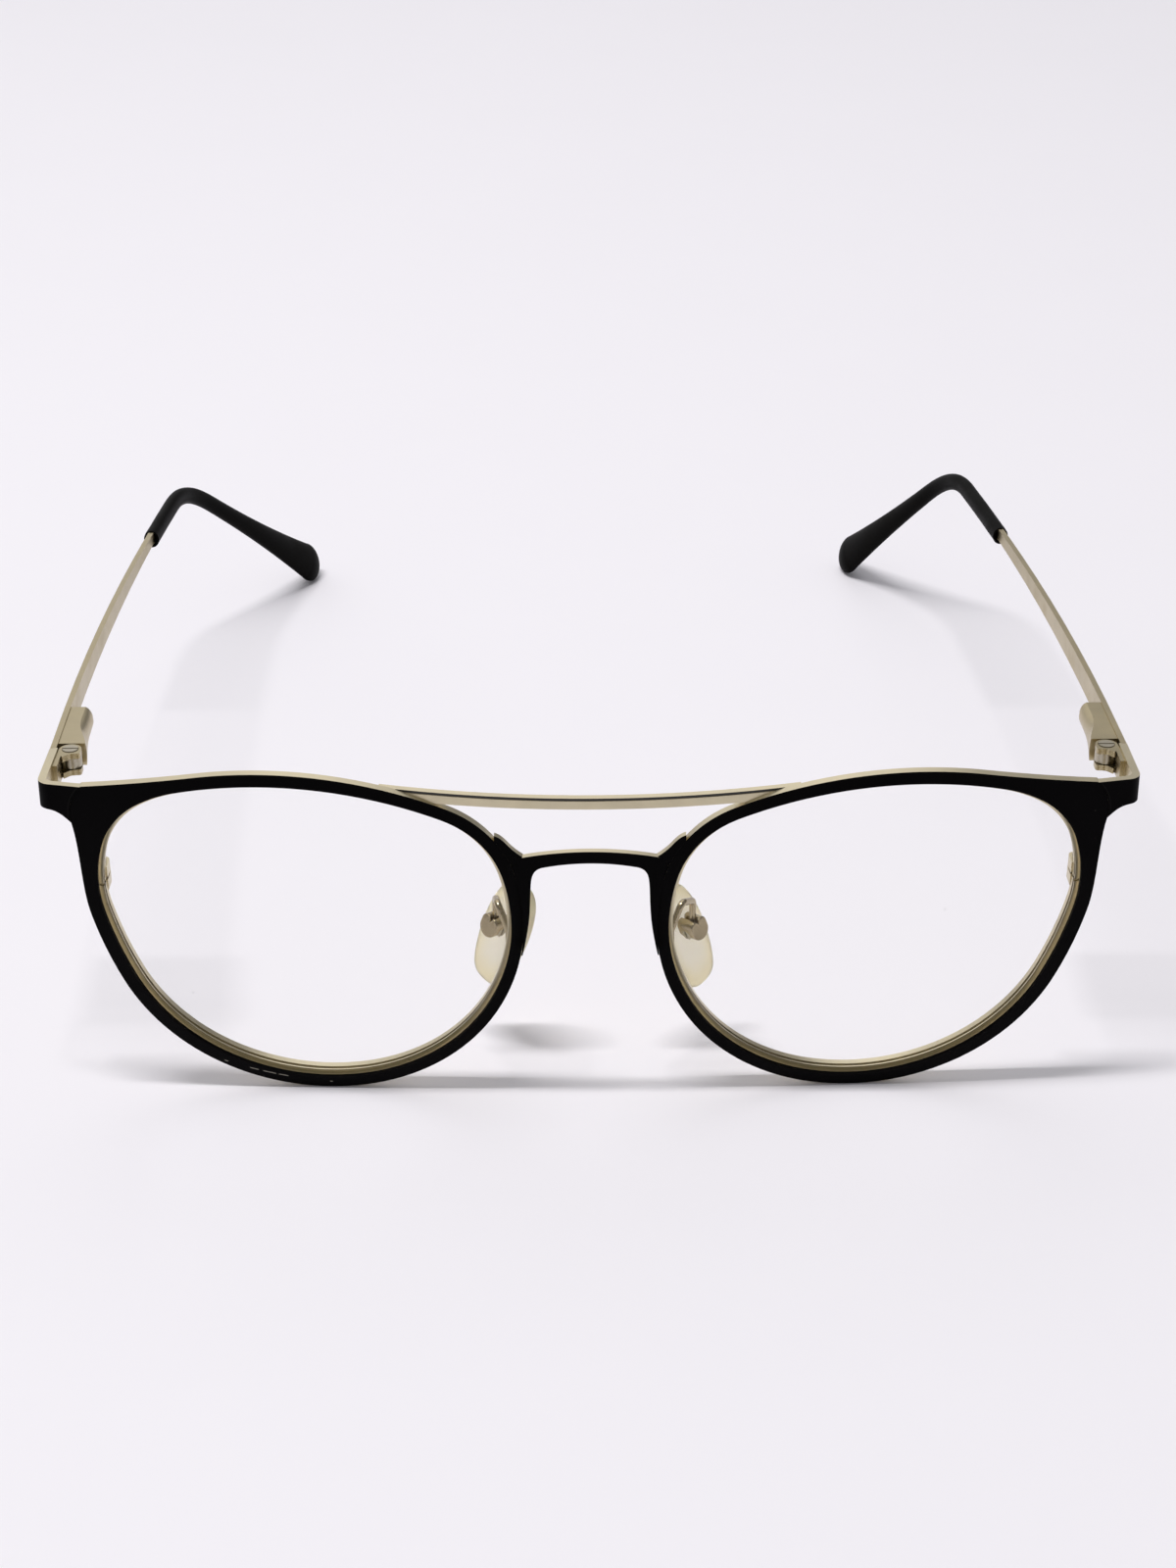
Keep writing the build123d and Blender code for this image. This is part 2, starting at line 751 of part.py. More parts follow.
def make_pad_screw():
    """Screw across the clip, through the pad's lug."""
    length = clip_width - pad_head_height
    shank = Pos(pad_head_height / 2, lug_axis_depth, lug_above_centre)
    shank = shank * Rot(0, 90, 0) * Cylinder(pad_screw_radius, length)
    head = Pos(-clip_width / 2 + pad_head_height / 2, lug_axis_depth, lug_above_centre)
    head = head * Rot(0, 90, 0) * Cylinder(pad_head_radius, pad_head_height)
    slot = Pos(-clip_width / 2, lug_axis_depth, lug_above_centre)
    slot = slot * Box(screw_slot_depth * 2, screw_slot_width, pad_head_radius * 3)
    return shank + head - slot


def make_pad_arm(pad_frame, clip):
    """Round wire from the eyewire's nose side, up, over and down into the clip."""
    foot_out = centre_out - opening_width / 2 + eyewire_inset - arm_bite
    foot_up = centre_up - arm_foot_drop
    on_wire = front_point(-opening_width / 2, -arm_foot_drop)
    foot_back = in_frame(lens_frame, on_wire).Y + eyewire_back
    foot = Vector(foot_out, foot_back - eyewire_depth / 2, foot_up)
    lower = Vector(foot_out, foot_back + arm_foot_back, foot_up + arm_foot_rise)
    crest = Vector(
        lower.X + arm_loop_out, lower.Y + arm_loop_back, lower.Z + arm_loop_rise
    )
    into = in_frame(
        pad_frame,
        Vector(0, clip_middle, lug_above_centre + (clip_height - clip_notch) / 2 - arm_embed),
    )
    above = into + Vector(0, 0, arm_drop)
    path = FilletPolyline(foot, lower, crest, above, into, radius=arm_bend_radius)
    section = Plane(origin=path @ 0, z_dir=path % 0) * Circle(arm_radius)
    wire = sweep(section, path=path)
    ring = prism(outline_face(eyewire_lap)) & curved_sheet(0, eyewire_back)
    cut = wire - clip - lens_frame * ring
    return cut.solids().sort_by(SortBy.VOLUME)[-1]


def both_sides(solid):
    """A solid drawn in the lens frame, on both sides."""
    left = lens_frame * solid
    return left + mirror(left, about=Plane.YZ)


def plan_band(half_span, end_back, forward, depth, up, lean, height):
    """Strip of sheet seen from above: bowed forward in the middle, leaning back with the front."""
    front = ThreePointArc(
        Vector(-half_span, end_back), Vector(0, end_back - forward), Vector(half_span, end_back)
    )
    rear = ThreePointArc(
        Vector(-half_span, end_back + depth),
        Vector(0, end_back - forward + depth),
        Vector(half_span, end_back + depth),
    )
    plan = make_face(
        [
            front,
            rear,
            Line(Vector(-half_span, end_back), Vector(-half_span, end_back + depth)),
            Line(Vector(half_span, end_back), Vector(half_span, end_back + depth)),
        ]
    )
    tall = extrude(plan, amount=height, both=True)
    return Pos(0, 0, up) * Rot(-lean, 0, 0) * tall


rims_filled = both_sides(prism(rim_outline()))
rim_sheets = both_sides(
    (prism(rim_outline()) & curved_sheet(0, rim_sheet))
    + (prism(outline_face(eyewire_lap)) & curved_sheet(0, eyewire_back))
)


def make_lower_bridge():
    """Arched bridge between the rims, black faced like them, its roots run down the rims."""
    top = centre_up + bridge_rise
    foot = top - bridge_height
    ends = top - bridge_sag
    side = opening_gap / 2
    under = [
        Vector(bridge_root_out * x, foot - bridge_root_drop * y) for x, y in bridge_under_shares
    ]
    mirrored = [Vector(-point.X, point.Y) for point in under]
    edges = [
        ThreePointArc(Vector(-side, ends), Vector(0, top), Vector(side, ends)),
        ThreePointArc(mirrored[0], Vector(0, foot), under[0]),
    ]
    for s, points in ((1, under), (-1, mirrored)):
        edges += [
            Spline(points),
            Line(points[-1], Vector(s * side, points[-1].Y)),
            Line(Vector(s * side, points[-1].Y), Vector(s * side, ends)),
        ]
    face = make_face(edges)
    edge = front_point(-opening_width / 2 - rim_width_above, bridge_rise)
    end_back = in_frame(lens_frame, edge).Y
    lean = math.degrees(math.asin(bridge_rise / front_curve_radius))
    reach = bridge_root_drop * 2
    band = plan_band(side, end_back, bridge_forward, bridge_sheet, top, lean, reach)
    web_edge = [
        Vector(side * x - centre_out, bridge_rise + bridge_sag * y)
        for x, y in bridge_web_shares
    ]
    heel = Vector(web_edge[-1].X, bridge_rise - bridge_sag * bridge_web_heel_share)
    toe = Vector(web_edge[0].X, heel.Y)
    web = make_face(
        [Spline(web_edge), Line(web_edge[-1], heel), Line(heel, toe), Line(toe, web_edge[0])]
    )
    webs = both_sides(prism(web) & curved_sheet(0, bridge_sheet))
    return (prism(face) & band) + webs - rims_filled


def make_upper_bar():
    """Brow bar behind the rims' sheets, with a fine line sunk along its front's top."""
    middle = centre_up + bar_rise
    ends = middle + bar_sag
    half = bar_half_span
    low = bar_height
    edges = [
        ThreePointArc(Vector(-half, ends), Vector(0, middle), Vector(half, ends)),
        ThreePointArc(
            Vector(-half, ends - low), Vector(0, middle - low), Vector(half, ends - low)
        ),
        Line(Vector(-half, ends), Vector(-half, ends - low)),
        Line(Vector(half, ends), Vector(half, ends - low)),
    ]
    face = make_face(edges)
    edge = front_point(half - centre_out, bar_rise)
    end_back = in_frame(lens_frame, edge).Y + rim_sheet
    lean = math.degrees(math.asin(bar_rise / front_curve_radius))
    band = plan_band(half, end_back, bar_forward, bar_depth, middle, lean, bar_height * 4)
    bar = (prism(face) & band) - rim_sheets
    foot = bar_line_height
    line_face = make_face(
        [
            ThreePointArc(Vector(-half, ends), Vector(0, middle), Vector(half, ends)),
            ThreePointArc(
                Vector(-half, ends - foot), Vector(0, middle - foot), Vector(half, ends - foot)
            ),
            Line(Vector(-half, ends), Vector(-half, ends - foot)),
            Line(Vector(half, ends), Vector(half, ends - foot)),
        ]
    )
    line_band = plan_band(
        half, end_back, bar_forward, bar_line_depth, middle, lean, bar_height * 4
    )
    return bar - (prism(line_face) & line_band)


def side_nodes(rest_turn, bend_start, tip_inward, tip_back, pad_out, pad_up):
    """All nodes of one side, by their plain names, and the frames of its temple and pad."""
    turned = side_frame * Rot(0, 0, rest_turn)
    pad_frame = Pos(pad_out, pad_back, pad_up) * pad_turn
    wire = sleeve_wire(bend_start, tip_inward, tip_back)
    temple = make_temple(wire)
    end_piece = make_end_piece()
    upper, lower, closing_screw = make_closing()
    clip = pad_frame * make_clip()
    nodes = {
        "rim": make_rim(),
        "eyewire": make_eyewire(),
        "lens": make_lens(),
        "closing_block_upper": upper,
        "closing_block_lower": lower,
        "closing_screw": closing_screw,
        "end_piece": end_piece,
        "hinge_fork": make_fork(end_piece),
        "hinge_screw": side_frame * make_hinge_screw(),
        "hinge_slider": turned * make_slider(),
        "spring_box": turned * make_spring_box(),
        "spring_bush": turned
        * (
            along_temple(bore_radius, box_front, bush_end)
            - along_temple(rod_radius + rod_fit, box_front - overrun, bush_end + overrun)
        ),
        "hinge_spring": turned * make_spring(),
        "spring_collar": turned
        * (
            along_temple(collar_radius, spring_end, collar_end)
            - along_temple(rod_radius, spring_end - overrun, collar_end + overrun)
        ),
        "temple": turned * temple,
        "temple_tip": turned * make_sleeve(wire, temple),
        "nose_pad": pad_frame * make_pad(),
        "pad_clip": clip,
        "pad_screw": pad_frame * make_pad_screw(),
        "pad_arm": make_pad_arm(pad_frame, clip),
    }
    return nodes, turned, pad_frame


parts = {"upper_bar": make_upper_bar(), "lower_bridge": make_lower_bridge()}
left, left_frame, left_pad_frame = side_nodes(
    left_rest_turn, left_bend_start, left_tip_inward, left_tip_back, left_pad_out, left_pad_up
)
right, right_frame, right_pad_frame = side_nodes(
    right_rest_turn, right_bend_start, right_tip_inward, right_tip_back, right_pad_out,
    right_pad_up
)
for name, shape in left.items():
    parts["left_" + name] = shape
for name, shape in right.items():
    parts["right_" + name] = mirror(shape, about=Plane.YZ)

# The origin is the middle of the whole outline, on the surface that the glasses stand on
boxes = [shape.bounding_box() for shape in parts.values()]
low_y = min(box.min.Y for box in boxes)
high_y = max(box.max.Y for box in boxes)
low_x = min(box.min.X for box in boxes)
high_x = max(box.max.X for box in boxes)
low_z = min(box.min.Z for box in boxes)
high_z = max(box.max.Z for box in boxes)
home = Pos(-(low_x + high_x) / 2, -(low_y + high_y) / 2, -low_z)
print("outline", round(high_x - low_x, 3), round(high_y - low_y, 3), round(high_z - low_z, 3))


def told(label, frame, side, axis):
    """Print a joint's point and axis in the part's own frame."""
    at = frame.position
    point = (home * Pos(at.X * side, at.Y, at.Z)).position
    along = (frame * Pos(axis)).position - at
    print(label, "at", point, "axis", Vector(along.X * side, along.Y, along.Z))


lug = Pos(0, lug_axis_depth, lug_above_centre)
print("moved home by", home.position)
for label, side, turned, pad_frame in (
    ("left", 1, left_frame, left_pad_frame),
    ("right", -1, right_frame, right_pad_frame),
):
    told(label + " fold", turned, side, Vector(0, 0, 1))
    told(label + " slide", turned, side, Vector(0, 1, 0))
    told(label + " pad", pad_frame * lug, side, Vector(1, 0, 0))

os.makedirs("parts", exist_ok=True)
for name, shape in parts.items():
    export_step(home * shape, "parts/" + name + ".step")
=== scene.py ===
"""Double bridge glasses: finishes, small dressed pieces, studio and camera."""
import logging
import math
from dataclasses import dataclass, field
from enum import Enum

import bpy
import numpy as np
from mathutils import Matrix, Vector


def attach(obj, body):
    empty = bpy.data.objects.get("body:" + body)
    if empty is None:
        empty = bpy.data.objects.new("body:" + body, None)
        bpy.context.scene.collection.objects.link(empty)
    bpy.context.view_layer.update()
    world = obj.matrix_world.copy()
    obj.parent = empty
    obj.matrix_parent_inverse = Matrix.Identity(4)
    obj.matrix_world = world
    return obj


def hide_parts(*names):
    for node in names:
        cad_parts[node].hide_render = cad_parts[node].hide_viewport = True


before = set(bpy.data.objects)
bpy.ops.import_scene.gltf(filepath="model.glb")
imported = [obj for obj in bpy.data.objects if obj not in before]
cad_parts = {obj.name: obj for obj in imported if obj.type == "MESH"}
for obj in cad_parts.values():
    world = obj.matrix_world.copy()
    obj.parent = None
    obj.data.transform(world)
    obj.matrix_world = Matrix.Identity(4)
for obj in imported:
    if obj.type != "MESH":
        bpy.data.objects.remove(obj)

log = logging.getLogger("glasses")
logging.basicConfig(level=logging.INFO, format="%(name)s: %(message)s")

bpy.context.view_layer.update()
MM = 0.001
AHEAD = (0.0, -1.0, 0.0)

Colour = tuple[float, float, float, float]
Triple = tuple[float, float, float]
Pair = tuple[float, float]


class Side(Enum):
    """Sides of the wearer, with the sign of X on each."""

    LEFT = ("left", 1.0)
    RIGHT = ("right", -1.0)

    @property
    def word(self) -> str:
        """First word of this side's node names."""
        return self.value[0]

    @property
    def sign(self) -> float:
        """Sign of X on this side."""
        return self.value[1]


class Graph:
    """Small helper that adds and links nodes in one node tree."""

    def __init__(self, tree: bpy.types.NodeTree) -> None:
        """Keep the tree that nodes go into."""
        self.tree = tree

    def add(self, kind: str, **values: object) -> bpy.types.Node:
        """Add a node and set its properties.

        Args:
            kind: the node's type name.
            values: properties of the node by name.

        Returns:
            The new node.
        """
        node = self.tree.nodes.new(kind)
        for name, value in values.items():
            setattr(node, name, value)
        return node

    def link(self, source: bpy.types.NodeSocket, target: bpy.types.NodeSocket) -> None:
        """Link an output to an input."""
        self.tree.links.new(source, target)

    def feed(self, value: object, target: bpy.types.NodeSocket) -> None:
        """Link a socket, or set a plain value, on an input.

        Args:
            value: an output socket, or a value for the input.
            target: the input.
        """
        if isinstance(value, bpy.types.NodeSocket):
            self.link(value, target)
        else:
            target.default_value = value

    def maths(self, operation: str, first: object, second: object = 0.0, third: object = 0.0,
              clamp: bool = False) -> bpy.types.NodeSocket:
        """Add a Math node.

        Args:
            operation: what the node works out.
            first: first value or socket.
            second: second value or socket.
            third: third value or socket.
            clamp: whether the result is held between 0 and 1.

        Returns:
            The node's output.
        """
        node = self.add("ShaderNodeMath", operation=operation, use_clamp=clamp)
        for value, target in zip((first, second, third), node.inputs):
            self.feed(value, target)
        return node.outputs[0]

    def vector(self, operation: str, first: object, second: object = (0.0, 0.0, 0.0),
               result: int = 0) -> bpy.types.NodeSocket:
        """Add a Vector Math node.

        Args:
            operation: what the node works out.
            first: first vector or socket.
            second: second vector or socket.
            result: which output is wanted, 0 for a vector and 1 for a value.

        Returns:
            The node's output.
        """
        node = self.add("ShaderNodeVectorMath", operation=operation)
        self.feed(first, node.inputs[0])
        self.feed(second, node.inputs[1])
        return node.outputs[result]

    def ramp(self, value: object, low: object, high: object, to_low: object = 0.0,
             to_high: object = 1.0) -> bpy.types.NodeSocket:
        """Add a smooth Map Range node.

        Args:
            value: the value that is mapped.
            low: where the ramp starts.
            high: where the ramp ends.
            to_low: result at the start.
            to_high: result at the end.

        Returns:
            The mapped value.
        """
        node = self.add("ShaderNodeMapRange", interpolation_type="SMOOTHSTEP", clamp=True)
        for item, target in zip((value, low, high, to_low, to_high), node.inputs):
            self.feed(item, target)
        return node.outputs["Result"]

    def mix(self, factor: object, first: object, second: object) -> bpy.types.NodeSocket:
        """Add a colour Mix node.

        Args:
            factor: share of the second colour.
            first: first colour or socket.
            second: second colour or socket.

        Returns:
            The mixed colour.
        """
        node = self.add("ShaderNodeMix", data_type="RGBA")
        self.feed(factor, node.inputs["Factor"])
        self.feed(first, node.inputs[6])
        self.feed(second, node.inputs[7])
        return node.outputs[2]

    def noise(self, place: bpy.types.NodeSocket, scale: object, detail: float = 3.0,
              roughness: float = 0.55) -> bpy.types.NodeSocket:
        """Add a Noise Texture.

        Args:
            place: where the noise is read.
            scale: how many cells there are per metre.
            detail: number of finer layers.
            roughness: strength of the finer layers.

        Returns:
            The noise, from 0 to 1.
        """
        node = self.add("ShaderNodeTexNoise")
        self.link(place, node.inputs["Vector"])
        self.feed(scale, node.inputs["Scale"])
        node.inputs["Detail"].default_value = detail
        node.inputs["Roughness"].default_value = roughness
        return node.outputs["Fac"]


class Group:
    """A shader node group that materials share: its sockets, and what it works out."""

    def __init__(self, name: str, inputs: dict[str, tuple[str, object]],
                 outputs: dict[str, str]) -> None:
        """Make the group with its sockets.

        Args:
            name: the group's name.
            inputs: socket type and default value by name.
            outputs: socket type by name.
        """
        self.tree = bpy.data.node_groups.new(name, "ShaderNodeTree")
        for label, (kind, value) in inputs.items():
            socket = self.tree.interface.new_socket(label, in_out="INPUT", socket_type=kind)
            socket.default_value = value
        for label, kind in outputs.items():
            self.tree.interface.new_socket(label, in_out="OUTPUT", socket_type=kind)
        self.graph = Graph(self.tree)
        self.given = self.graph.add("NodeGroupInput").outputs
        self.result = self.graph.add("NodeGroupOutput").inputs

    def place(self, graph: Graph, **values: object) -> bpy.types.bpy_prop_collection:
        """Put the group in a material.

        Args:
            graph: the material's graph.
            values: socket or value by input name, with underscores for spaces.

        Returns:
            The outputs of the placed group.
        """
        node = graph.add("ShaderNodeGroup", node_tree=self.tree)
        for label, value in values.items():
            graph.feed(value, node.inputs[label.replace("_", " ")])
        return node.outputs


FLOAT = "NodeSocketFloat"
VECTOR = "NodeSocketVector"


class Effects:
    """The shader effects that several finishes share, each built once."""

    def __init__(self) -> None:
        """Build every group."""
        self.satin = self.make_satin()
        self.handling = self.make_handling()
        self.facing = self.make_facing()
        self.arc_line = self.make_arc_line()
        self.lip = self.make_lip()
        self.chips = self.make_chips()

    def make_satin(self) -> Group:
        """Fine drawn grain: noise stretched along one axis, as a value and a height."""
        group = Group(
            "satin_grain",
            {"Stretch": (VECTOR, (1.0, 1.0, 1.0)), "Scale": (FLOAT, 4000.0)},
            {"Value": FLOAT, "Height": FLOAT},
        )
        broad_scale = 260.0
        graph = group.graph
        place = graph.add("ShaderNodeTexCoord").outputs["Object"]
        drawn = graph.vector("MULTIPLY", place, group.given["Stretch"])
        grain = graph.noise(drawn, group.given["Scale"], detail=2.0)
        broad = graph.noise(place, broad_scale)
        graph.link(broad, group.result["Value"])
        graph.link(grain, group.result["Height"])
        return group

    def make_handling(self) -> Group:
        """Traces of use: soft smudges, and sparse specks of dust and tiny chips."""
        group = Group(
            "handling_marks",
            {"Smudge Scale": (FLOAT, 160.0), "Speck Scale": (FLOAT, 2600.0),
             "Speck Share": (FLOAT, 0.03)},
            {"Smudge": FLOAT, "Speck": FLOAT},
        )
        smudge_edges = (0.42, 0.72)
        speck_edges = (0.05, 0.22)
        graph = group.graph
        place = graph.add("ShaderNodeTexCoord").outputs["Object"]
        smudge = graph.noise(place, group.given["Smudge Scale"], detail=4.0, roughness=0.6)
        graph.link(graph.ramp(smudge, *smudge_edges), group.result["Smudge"])
        cells = graph.add("ShaderNodeTexVoronoi", feature="F1")
        graph.link(place, cells.inputs["Vector"])
        graph.link(group.given["Speck Scale"], cells.inputs["Scale"])
        near = graph.ramp(cells.outputs["Distance"], *speck_edges, 1.0, 0.0)
        chance = graph.add("ShaderNodeSeparateColor")
        graph.link(cells.outputs["Color"], chance.inputs[0])
        picked = graph.maths("LESS_THAN", chance.outputs[0], group.given["Speck Share"])
        graph.link(graph.maths("MULTIPLY", near, picked), group.result["Speck"])
        return group

    def make_facing(self) -> Group:
        """Mask of the surface that faces a direction: the dot product past an edge."""
        group = Group(
            "facing_mask",
            {"Direction": (VECTOR, AHEAD), "Edge": (FLOAT, 0.8),
             "Softness": (FLOAT, 0.08)},
            {"Mask": FLOAT},
        )
        graph = group.graph
        normal = graph.add("ShaderNodeTexCoord").outputs["Normal"]
        dot = graph.vector("DOT_PRODUCT", normal, group.given["Direction"], 1)
        low = graph.maths("SUBTRACT", group.given["Edge"], group.given["Softness"])
        high = graph.maths("ADD", group.given["Edge"], group.given["Softness"])
        graph.link(graph.ramp(dot, low, high), group.result["Mask"])
        return group

    def make_arc_line(self) -> Group:
        """Mask of a fine line along an arc that is seen from the front.

        The line is where the distance from the arc's centre, in X and Z, is its radius, and
        it ends where the distance from the arc's middle passes its reach.
        """
        group = Group(
            "arc_line",
            {"Centre": (VECTOR, (0.0, 0.0, 0.0)), "Radius": (FLOAT, 1.0),
             "Half Width": (FLOAT, 0.0001), "Softness": (FLOAT, 0.00003),
             "Middle": (VECTOR, (0.0, 0.0, 0.0)), "Reach": (FLOAT, 1.0)},
            {"Mask": FLOAT},
        )
        fade_share = 0.8
        graph = group.graph
        place = graph.add("ShaderNodeTexCoord").outputs["Object"]
        flat = graph.vector("MULTIPLY", place, (1.0, 0.0, 1.0))
        away = graph.vector("DISTANCE", flat, group.given["Centre"], 1)
        offset = graph.maths("ABSOLUTE", graph.maths("SUBTRACT", away, group.given["Radius"]))
        far = graph.maths("ADD", group.given["Half Width"], group.given["Softness"])
        near = graph.maths("SUBTRACT", group.given["Half Width"], group.given["Softness"])
        line = graph.ramp(offset, near, far, 1.0, 0.0)
        along = graph.vector("DISTANCE", flat, group.given["Middle"], 1)
        fade = graph.maths("MULTIPLY", group.given["Reach"], fade_share)
        ends = graph.ramp(along, fade, group.given["Reach"], 1.0, 0.0)
        graph.link(graph.maths("MULTIPLY", line, ends), group.result["Mask"])
        return group

    def make_lip(self) -> Group:
        """Mask of the front lip of the walls that face an opening's centre.

        A wall faces the centre where its normal's dot product with the outward direction, in
        X and Z, is well below zero. The lip is where the distance from the centre of the
        front's ball is near the ball's radius.
        """
        group = Group(
            "inner_lip",
            {"Opening": (VECTOR, (0.0, 0.0, 0.0)), "Ball": (VECTOR, (0.0, 0.0, 0.0)),
             "Least": (FLOAT, 0.1295)},
            {"Mask": FLOAT},
        )
        inward_edges = (-0.65, -0.45)
        graph = group.graph
        place = graph.add("ShaderNodeTexCoord")
        flat = graph.vector("MULTIPLY", place.outputs["Object"], (1.0, 0.0, 1.0))
        outward = graph.vector("NORMALIZE", graph.vector("SUBTRACT", flat, group.given["Opening"]))
        dot = graph.vector("DOT_PRODUCT", place.outputs["Normal"], outward, 1)
        facing = graph.ramp(dot, *inward_edges, 1.0, 0.0)
        away = graph.vector("DISTANCE", place.outputs["Object"], group.given["Ball"], 1)
        front = graph.maths("GREATER_THAN", away, group.given["Least"])
        graph.link(graph.maths("MULTIPLY", facing, front), group.result["Mask"])
        return group

    def make_chips(self) -> Group:
        """Short chips of the coating on a line: noise past a threshold, within the line's mask."""
        group = Group("paint_chips", {"Line": (FLOAT, 0.0)}, {"Mask": FLOAT})
        chip_scale = 620.0
        chip_edges = (0.56, 0.60)
        graph = group.graph
        place = graph.add("ShaderNodeTexCoord").outputs["Object"]
        grain = graph.noise(place, chip_scale, detail=2.0, roughness=0.5)
        chips = graph.ramp(grain, *chip_edges)
        graph.link(graph.maths("MULTIPLY", group.given["Line"], chips), group.result["Mask"])
        return group


@dataclass(frozen=True)
class Arc:
    """An arc in X and Z through three points, in metres."""

    first: Pair
    middle: Pair
    last: Pair

    def circle(self) -> tuple[Pair, float]:
        """Centre and radius, from the equal distances to the three points.

        Returns:
            The centre and the radius.
        """
        a, b, c = (np.array(point) for point in (self.first, self.middle, self.last))
        rows = 2.0 * np.array([b - a, c - a])
        centre = np.linalg.solve(rows, np.array([b @ b - a @ a, c @ c - a @ a]))
        return (float(centre[0]), float(centre[1])), float(np.linalg.norm(a - centre))


@dataclass(frozen=True)
class Lip:
    """Opening's centre in X and Z, the front's ball and the ball's radius at the lip's back."""

    opening: Pair
    ball: Triple
    least: float


@dataclass(frozen=True)
class Gold:
    """Pale gold plating over a satin blank."""

    colour: Colour = (0.68, 0.60, 0.41, 1.0)
    worn: Colour = (0.56, 0.50, 0.36, 1.0)
    roughness: float = 0.30
    spread: float = 0.12
    speck: Colour = (0.16, 0.13, 0.09, 1.0)
    scale: float = 5000.0
    relief: float = 0.00002
    relief_share: float = 0.35

    def build(self, name: str, effects: Effects,
              stretch: Triple = (1.0, 1.0, 1.0)) -> bpy.types.Material:
        """Make the material.

        Args:
            name: the material's name.
            effects: the shared effects.
            stretch: how the grain is drawn along X, Y and Z.

        Returns:
            The material.
        """
        material, graph, shader = start_material(name)
        shader.inputs["Metallic"].default_value = 1.0
        grain = effects.satin.place(graph, Stretch=stretch, Scale=self.scale)
        marks = effects.handling.place(graph)
        tone = graph.mix(grain["Value"], self.colour, self.worn)
        dull = graph.mix(marks["Speck"], tone, self.speck)
        graph.link(dull, shader.inputs["Base Color"])
        rough = graph.maths("MULTIPLY_ADD", marks["Smudge"], self.spread, self.roughness)
        graph.link(rough, shader.inputs["Roughness"])
        add_bump(graph, shader, grain["Height"], self.relief, self.relief_share)
        return material


@dataclass(frozen=True)
class BlackCoat:
    """Satin black coating on the faces that look one way, bare gold on the rest."""

    black: Colour = (0.0014, 0.0011, 0.0013, 1.0)
    dusty: Colour = (0.020, 0.019, 0.017, 1.0)
    bare: Colour = (0.34, 0.32, 0.27, 1.0)
    roughness: float = 0.50
    spread: float = 0.10
    specular: float = 0.03
    edge_softness: float = 0.05
    grain_scale: float = 9000.0
    speck_scale: float = 1500.0
    speck_share: float = 0.012
    line_softness: float = 0.00004
    seam_half_width: float = 0.00004
    seam_reach: float = 0.0027
    seam_show: float = 0.35
    chip_half_width: float = 0.00006
    chip_reach: float = 0.0085
    relief: float = 0.00002
    relief_share: float = 0.3
    gold: Gold = field(default_factory=Gold)

    def line(self, graph: Graph, effects: Effects, arc: Arc, half_width: float,
             reach: float) -> bpy.types.NodeSocket:
        """Place the mask of a fine line along an arc.

        Args:
            graph: the material's graph.
            effects: the shared effects.
            arc: the line's arc.
            half_width: half the line's width, in metres.
            reach: how far the line runs from the arc's middle, in metres.

        Returns:
            The mask.
        """
        centre, radius = arc.circle()
        placed = effects.arc_line.place(
            graph, Centre=(centre[0], 0.0, centre[1]), Radius=radius, Half_Width=half_width,
            Softness=self.line_softness, Middle=(arc.middle[0], 0.0, arc.middle[1]), Reach=reach,
        )
        return placed["Mask"]

    def build(self, name: str, effects: Effects, direction: Triple,
              edge: float, seams: tuple[Arc, ...] = (), lip: Lip | None = None,
              chipped: Arc | None = None) -> bpy.types.Material:
        """Make the material.

        Args:
            name: the material's name.
            effects: the shared effects.
            direction: unit vector that the coated faces look along.
            edge: least cosine between a coated face's normal and the direction.
            seams: arcs along which the coating shows a hairline.
            lip: front lip of an opening's walls, which is coated too.
            chipped: arc along which the coating has small chips.

        Returns:
            The material.
        """
        material, graph, shader = start_material(name)
        facing = effects.facing.place(
            graph, Direction=direction, Edge=edge, Softness=self.edge_softness)
        coated = facing["Mask"]
        if lip is not None:
            walls = effects.lip.place(graph, Opening=(lip.opening[0], 0.0, lip.opening[1]),
                                      Ball=lip.ball, Least=lip.least)
            coated = graph.maths("MAXIMUM", coated, walls["Mask"])
        grain = effects.satin.place(graph, Scale=self.grain_scale)
        marks = effects.handling.place(
            graph, Speck_Scale=self.speck_scale, Speck_Share=self.speck_share)
        face = graph.mix(marks["Speck"], self.black, self.dusty)
        for seam in seams:
            hairline = self.line(graph, effects, seam, self.seam_half_width, self.seam_reach)
            face = graph.mix(graph.maths("MULTIPLY", hairline, self.seam_show), face, self.dusty)
        if chipped is not None:
            worn = self.line(graph, effects, chipped, self.chip_half_width, self.chip_reach)
            face = graph.mix(effects.chips.place(graph, Line=worn)["Mask"], face, self.bare)
        bare = graph.mix(grain["Value"], self.gold.colour, self.gold.worn)
        graph.link(graph.mix(coated, bare, face), shader.inputs["Base Color"])
        metal = graph.maths("SUBTRACT", 1.0, coated, clamp=True)
        graph.link(metal, shader.inputs["Metallic"])
        dull = graph.maths("MULTIPLY_ADD", marks["Smudge"], self.spread, self.roughness)
        shine = graph.maths("MULTIPLY_ADD", marks["Smudge"], self.gold.spread, self.gold.roughness)
        blend = graph.add("ShaderNodeMix", data_type="FLOAT")
        graph.feed(coated, blend.inputs["Factor"])
        graph.feed(shine, blend.inputs[2])
        graph.feed(dull, blend.inputs[3])
        graph.link(blend.outputs[0], shader.inputs["Roughness"])
        shader.inputs["Specular IOR Level"].default_value = self.specular
        add_bump(graph, shader, grain["Height"], self.relief, self.relief_share)
        return material


